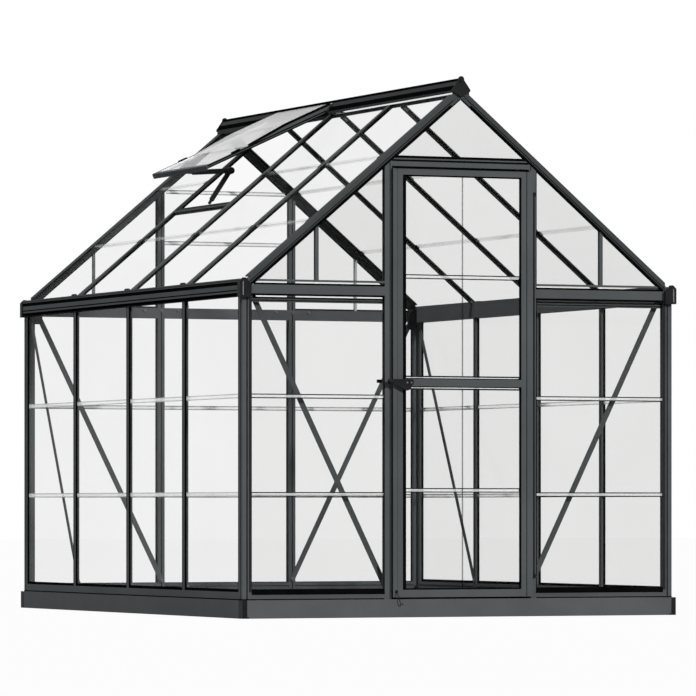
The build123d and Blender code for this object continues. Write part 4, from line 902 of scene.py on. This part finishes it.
zinc = plated_steel("zinc_plate", (0.09, 0.093, 0.096), (0.15, 0.153, 0.157))
bolt_size = 0.007
inner_x = 0.901
inner_y = 1.190
brace_x = inner_x - 0.003
brace_y = inner_y - 0.003
foot_bolt_z = 0.115
rail_bolt_z = 1.212
gable_brace_head = (0.868, 1.244)
side_brace_head = (1.1787, 1.220)
rear_post_x = 0.3035
rear_beam_z = 1.266
door_post_x = 0.308
front_beam_z = 1.258
beam_bolt_step = 0.077
forward = (0, -1, 0)
backward = (0, 1, 0)
bolts = bmesh.new()
for side in (-1, 1):
    inward = (-side, 0, 0)
    for shift in (-beam_bolt_step, 0, beam_bolt_step):
        bolt(bolts, (side * rear_post_x + shift, inner_y, rear_beam_z), forward, bolt_size)
    for x in (door_post_x, door_post_x + beam_bolt_step):
        bolt(bolts, (side * x, -inner_y, front_beam_z), backward, bolt_size)
    for x, z in (gable_brace_head, (door_post_x, foot_bolt_z)):
        bolt(bolts, (side * x, -brace_y, z), backward, bolt_size)
    for x, z in (gable_brace_head, (rear_post_x, foot_bolt_z)):
        bolt(bolts, (side * x, brace_y, z), forward, bolt_size)
    for y, z in (side_brace_head, (rafter_places[2], foot_bolt_z)):
        bolt(bolts, (side * brace_x, y, z), inward, bolt_size)
    for y in rafter_places[:2]:
        bolt(bolts, (side * inner_x, y, foot_bolt_z), inward, bolt_size)
    for y in rafter_places:
        bolt(bolts, (side * inner_x, y, rail_bolt_z), inward, bolt_size)
finish_piece(bolts, "frame_bolts", zinc, "frame")

# Door: stiles and rails of the same extrusion around four sheets, with clear strips at the joins.
# Black beads hold the sheets, partly glazing rubber and partly painted shade of the rebates' sides; thin black
# bands mark the left stile and the leaf's top edge, and a black fill in the right stile's groove is painted
# shade.
# One slim clear stiffener stands down the middle of the sheets.
dress(frame_coat, "door_stiles", "door_rails")
dress(black_plastic, "hinge_sleeve", "hinge_rod")
door_sheet = clear_sheet("door_clear_sheet", (0.907, 0.907, 0.905), (0.915, 0.915, 0.913), 0.003, 0.1, 5.0)
dress(door_sheet, "door_panes")
dress(clear_strip, "door_joint_strips")
door_pane_y = -1.2097
pane_left = -0.242
pane_right = 0.257
door_span = (pane_left, pane_right)
door_joints = (0.491, 1.318)
rail_lip_heights = (0.8832, 0.9318)
rail_lip_lift = 0.0036
rail_lip_width = 0.0056
rail_lip_depth = 0.0025
door_lips = bmesh.new()
for joint in door_joints:
    strip_lips(door_lips, (pane_left, door_pane_y, joint), (pane_right, door_pane_y, joint), along_y, up)
for height in rail_lip_heights:
    for face in (-1, 1):
        run_x(door_lips, door_span, door_pane_y + face * rail_lip_lift, height, rail_lip_width, rail_lip_depth,
              lip_rounding)
finish_piece(door_lips, "door_strip_lips", front_lip_shade, "door")

door_face_y = -1.223
door_bead_depth = 0.0065
door_bead_y = door_pane_y - 0.002 - door_bead_depth / 2
pane_foot = 0.106
pane_top = 1.711
pane_halves = ((pane_foot, 0.893), (0.922, pane_top))
level_beads = ((pane_foot, 0.112), (0.8895, 0.893), (0.922, 0.9255), (1.7055, pane_top))
left_bead = 0.008
right_bead = 0.006
leaf_span = (0.078, 1.737)
stile_band = 0.0078
stile_band_x = pane_left - 0.004
stile_line = 0.0009
stile_line_x = -0.273
stile_line_y = -1.2228
stile_line_depth = 0.0008
stile_line_rounding = 0.0002
top_band = 0.0036
top_band_z = 1.7361
top_band_span = (-0.29, 0.292)
leaf_band_y = door_face_y - 0.0002
stile_groove_shade = 0.0028
stile_groove_shade_x = 0.2795
# The beads beside the sheets are partly glazing rubber and partly painted shade; the right stile's groove fill is
# painted shade.
door_seals_and_shade = bmesh.new()
for span in pane_halves:
    for middle, width in ((pane_left + left_bead / 2, left_bead), (pane_right - right_bead / 2, right_bead)):
        stand(door_seals_and_shade, middle, door_bead_y, span, along_x, width, door_bead_depth)
for low, high in level_beads:
    run_x(door_seals_and_shade, door_span, door_bead_y, (low + high) / 2, high - low, door_bead_depth)
stand(door_seals_and_shade, stile_band_x, leaf_band_y, (pane_foot, pane_top), along_x, stile_band, band_depth)
stand(door_seals_and_shade, stile_line_x, stile_line_y, leaf_span, along_x, stile_line, stile_line_depth,
      stile_line_rounding)
run_x(door_seals_and_shade, top_band_span, leaf_band_y, top_band_z, top_band, band_depth)
stand(door_seals_and_shade, stile_groove_shade_x, door_face_y + groove_shade_depth / 2, leaf_span, along_x, stile_groove_shade, groove_shade_depth)
finish_piece(door_seals_and_shade, "door_seals_and_shade", black_rubber_and_shade, "door")

stiffener_x = 0.0075
stiffener_y = door_pane_y - 0.0034
stiffener_width = 0.0055
stiffener_depth = 0.003
stiffener_rounding = 0.0008
stiffener_halves = ((0.112, 0.882), (0.933, 1.7055))
stiffener = bmesh.new()
for span in stiffener_halves:
    stand(stiffener, stiffener_x, stiffener_y, span, along_x, stiffener_width, stiffener_depth,
          stiffener_rounding)
grey_strip = clear_sheet("grey_stiffener", (0.56, 0.57, 0.57), (0.6, 0.61, 0.61), 0.004, 0.1, 40.0)
finish_piece(stiffener, "door_stiffener", grey_strip, "door")

# Door stops: black rubber strips round the opening, behind the closed leaf.
# They are fixed under the header, on both door posts' flanks and on the base rail.
stop_y = -1.194
stop_depth = 0.007
stop_half = 0.292
post_stop_x = 0.287
post_stop_width = 0.012
post_stop_span = (0.071, 1.744)
head_stop_z = 1.7375
head_stop_height = 0.0135
foot_stop_z = 0.0775
foot_stop_height = 0.015
door_stops = bmesh.new()
run_x(door_stops, (-stop_half, stop_half), stop_y, head_stop_z, head_stop_height, stop_depth)
for side in (-1, 1):
    stand(door_stops, side * post_stop_x, stop_y, post_stop_span, along_x, post_stop_width, stop_depth)
run_x(door_stops, (-stop_half, stop_half), stop_y, foot_stop_z, foot_stop_height, stop_depth)
finish_piece(door_stops, "door_stops", black_rubber_and_shade, "frame")

# Latch: a black plate and wedge-shaped lever at the end of the middle rail, and a keeper inside the post.
# The lever has a rounded grip and two screw heads.
dress(black_plastic, "latch_plate", "latch_lever", "latch_keeper")
lever_front = -1.235
lever_screw_size = 0.0034
lever_screw_z = 0.907
grip_radius = 0.0105
grip_flatness = 0.62
grip_place = (-0.308, lever_front + 0.001, 0.9117)
lever_screws = bmesh.new()
for x in (-0.237, -0.219):
    bolt(lever_screws, (x, lever_front, lever_screw_z), forward, lever_screw_size)
finish_piece(lever_screws, "latch_lever_screws", zinc, "latch")
lever_trim = bmesh.new()
grip = bmesh.ops.create_icosphere(lever_trim, subdivisions=3, radius=grip_radius)
bmesh.ops.scale(lever_trim, vec=(1, grip_flatness, 1), verts=grip["verts"])
bmesh.ops.translate(lever_trim, vec=grip_place, verts=grip["verts"])
finish_piece(lever_trim, "latch_lever_trim", black_plastic, "latch")

# Door hook: a bent steel wire, dipped black, that hangs from the foot of the leaf in front of the base.
# It is one length of wire, held by a small eye plate on the stile.
hook_route = (
    (-0.277, -1.2255, 0.101), (-0.276, -1.2275, 0.090), (-0.274, -1.2405, 0.078), (-0.272, -1.2425, 0.064),
    (-0.269, -1.2425, 0.051), (-0.262, -1.2425, 0.048), (-0.258, -1.2425, 0.054),
)
wire_radius = 0.0016
eye_x = -0.277
eye_y = -1.2238
eye_span = (0.094, 0.105)
eye_width = 0.012
eye_depth = 0.0022
eye_rounding = 0.0008
hook_line = bpy.data.curves.new("hook_line", "CURVE")
hook_line.dimensions = "3D"
hook_line.bevel_depth = wire_radius
hook_line.bevel_resolution = 3
hook_line.use_fill_caps = True
hook_spline = hook_line.splines.new("NURBS")
hook_spline.points.add(len(hook_route) - 1)
for point, place in zip(hook_spline.points, hook_route):
    point.co = (*place, 1)
hook_spline.order_u = 3
hook_spline.use_endpoint_u = True
hook_spline.resolution_u = 6
hook_maker = bpy.data.objects.new("hook_maker", hook_line)
door_hook = bmesh.new()
hook_wire = bpy.data.meshes.new_from_object(hook_maker)
door_hook.from_mesh(hook_wire)
bpy.data.objects.remove(hook_maker)
bpy.data.meshes.remove(hook_wire)
stand(door_hook, eye_x, eye_y, eye_span, along_x, eye_width, eye_depth, eye_rounding)
finish_piece(door_hook, "door_hook", black_plastic, "door")
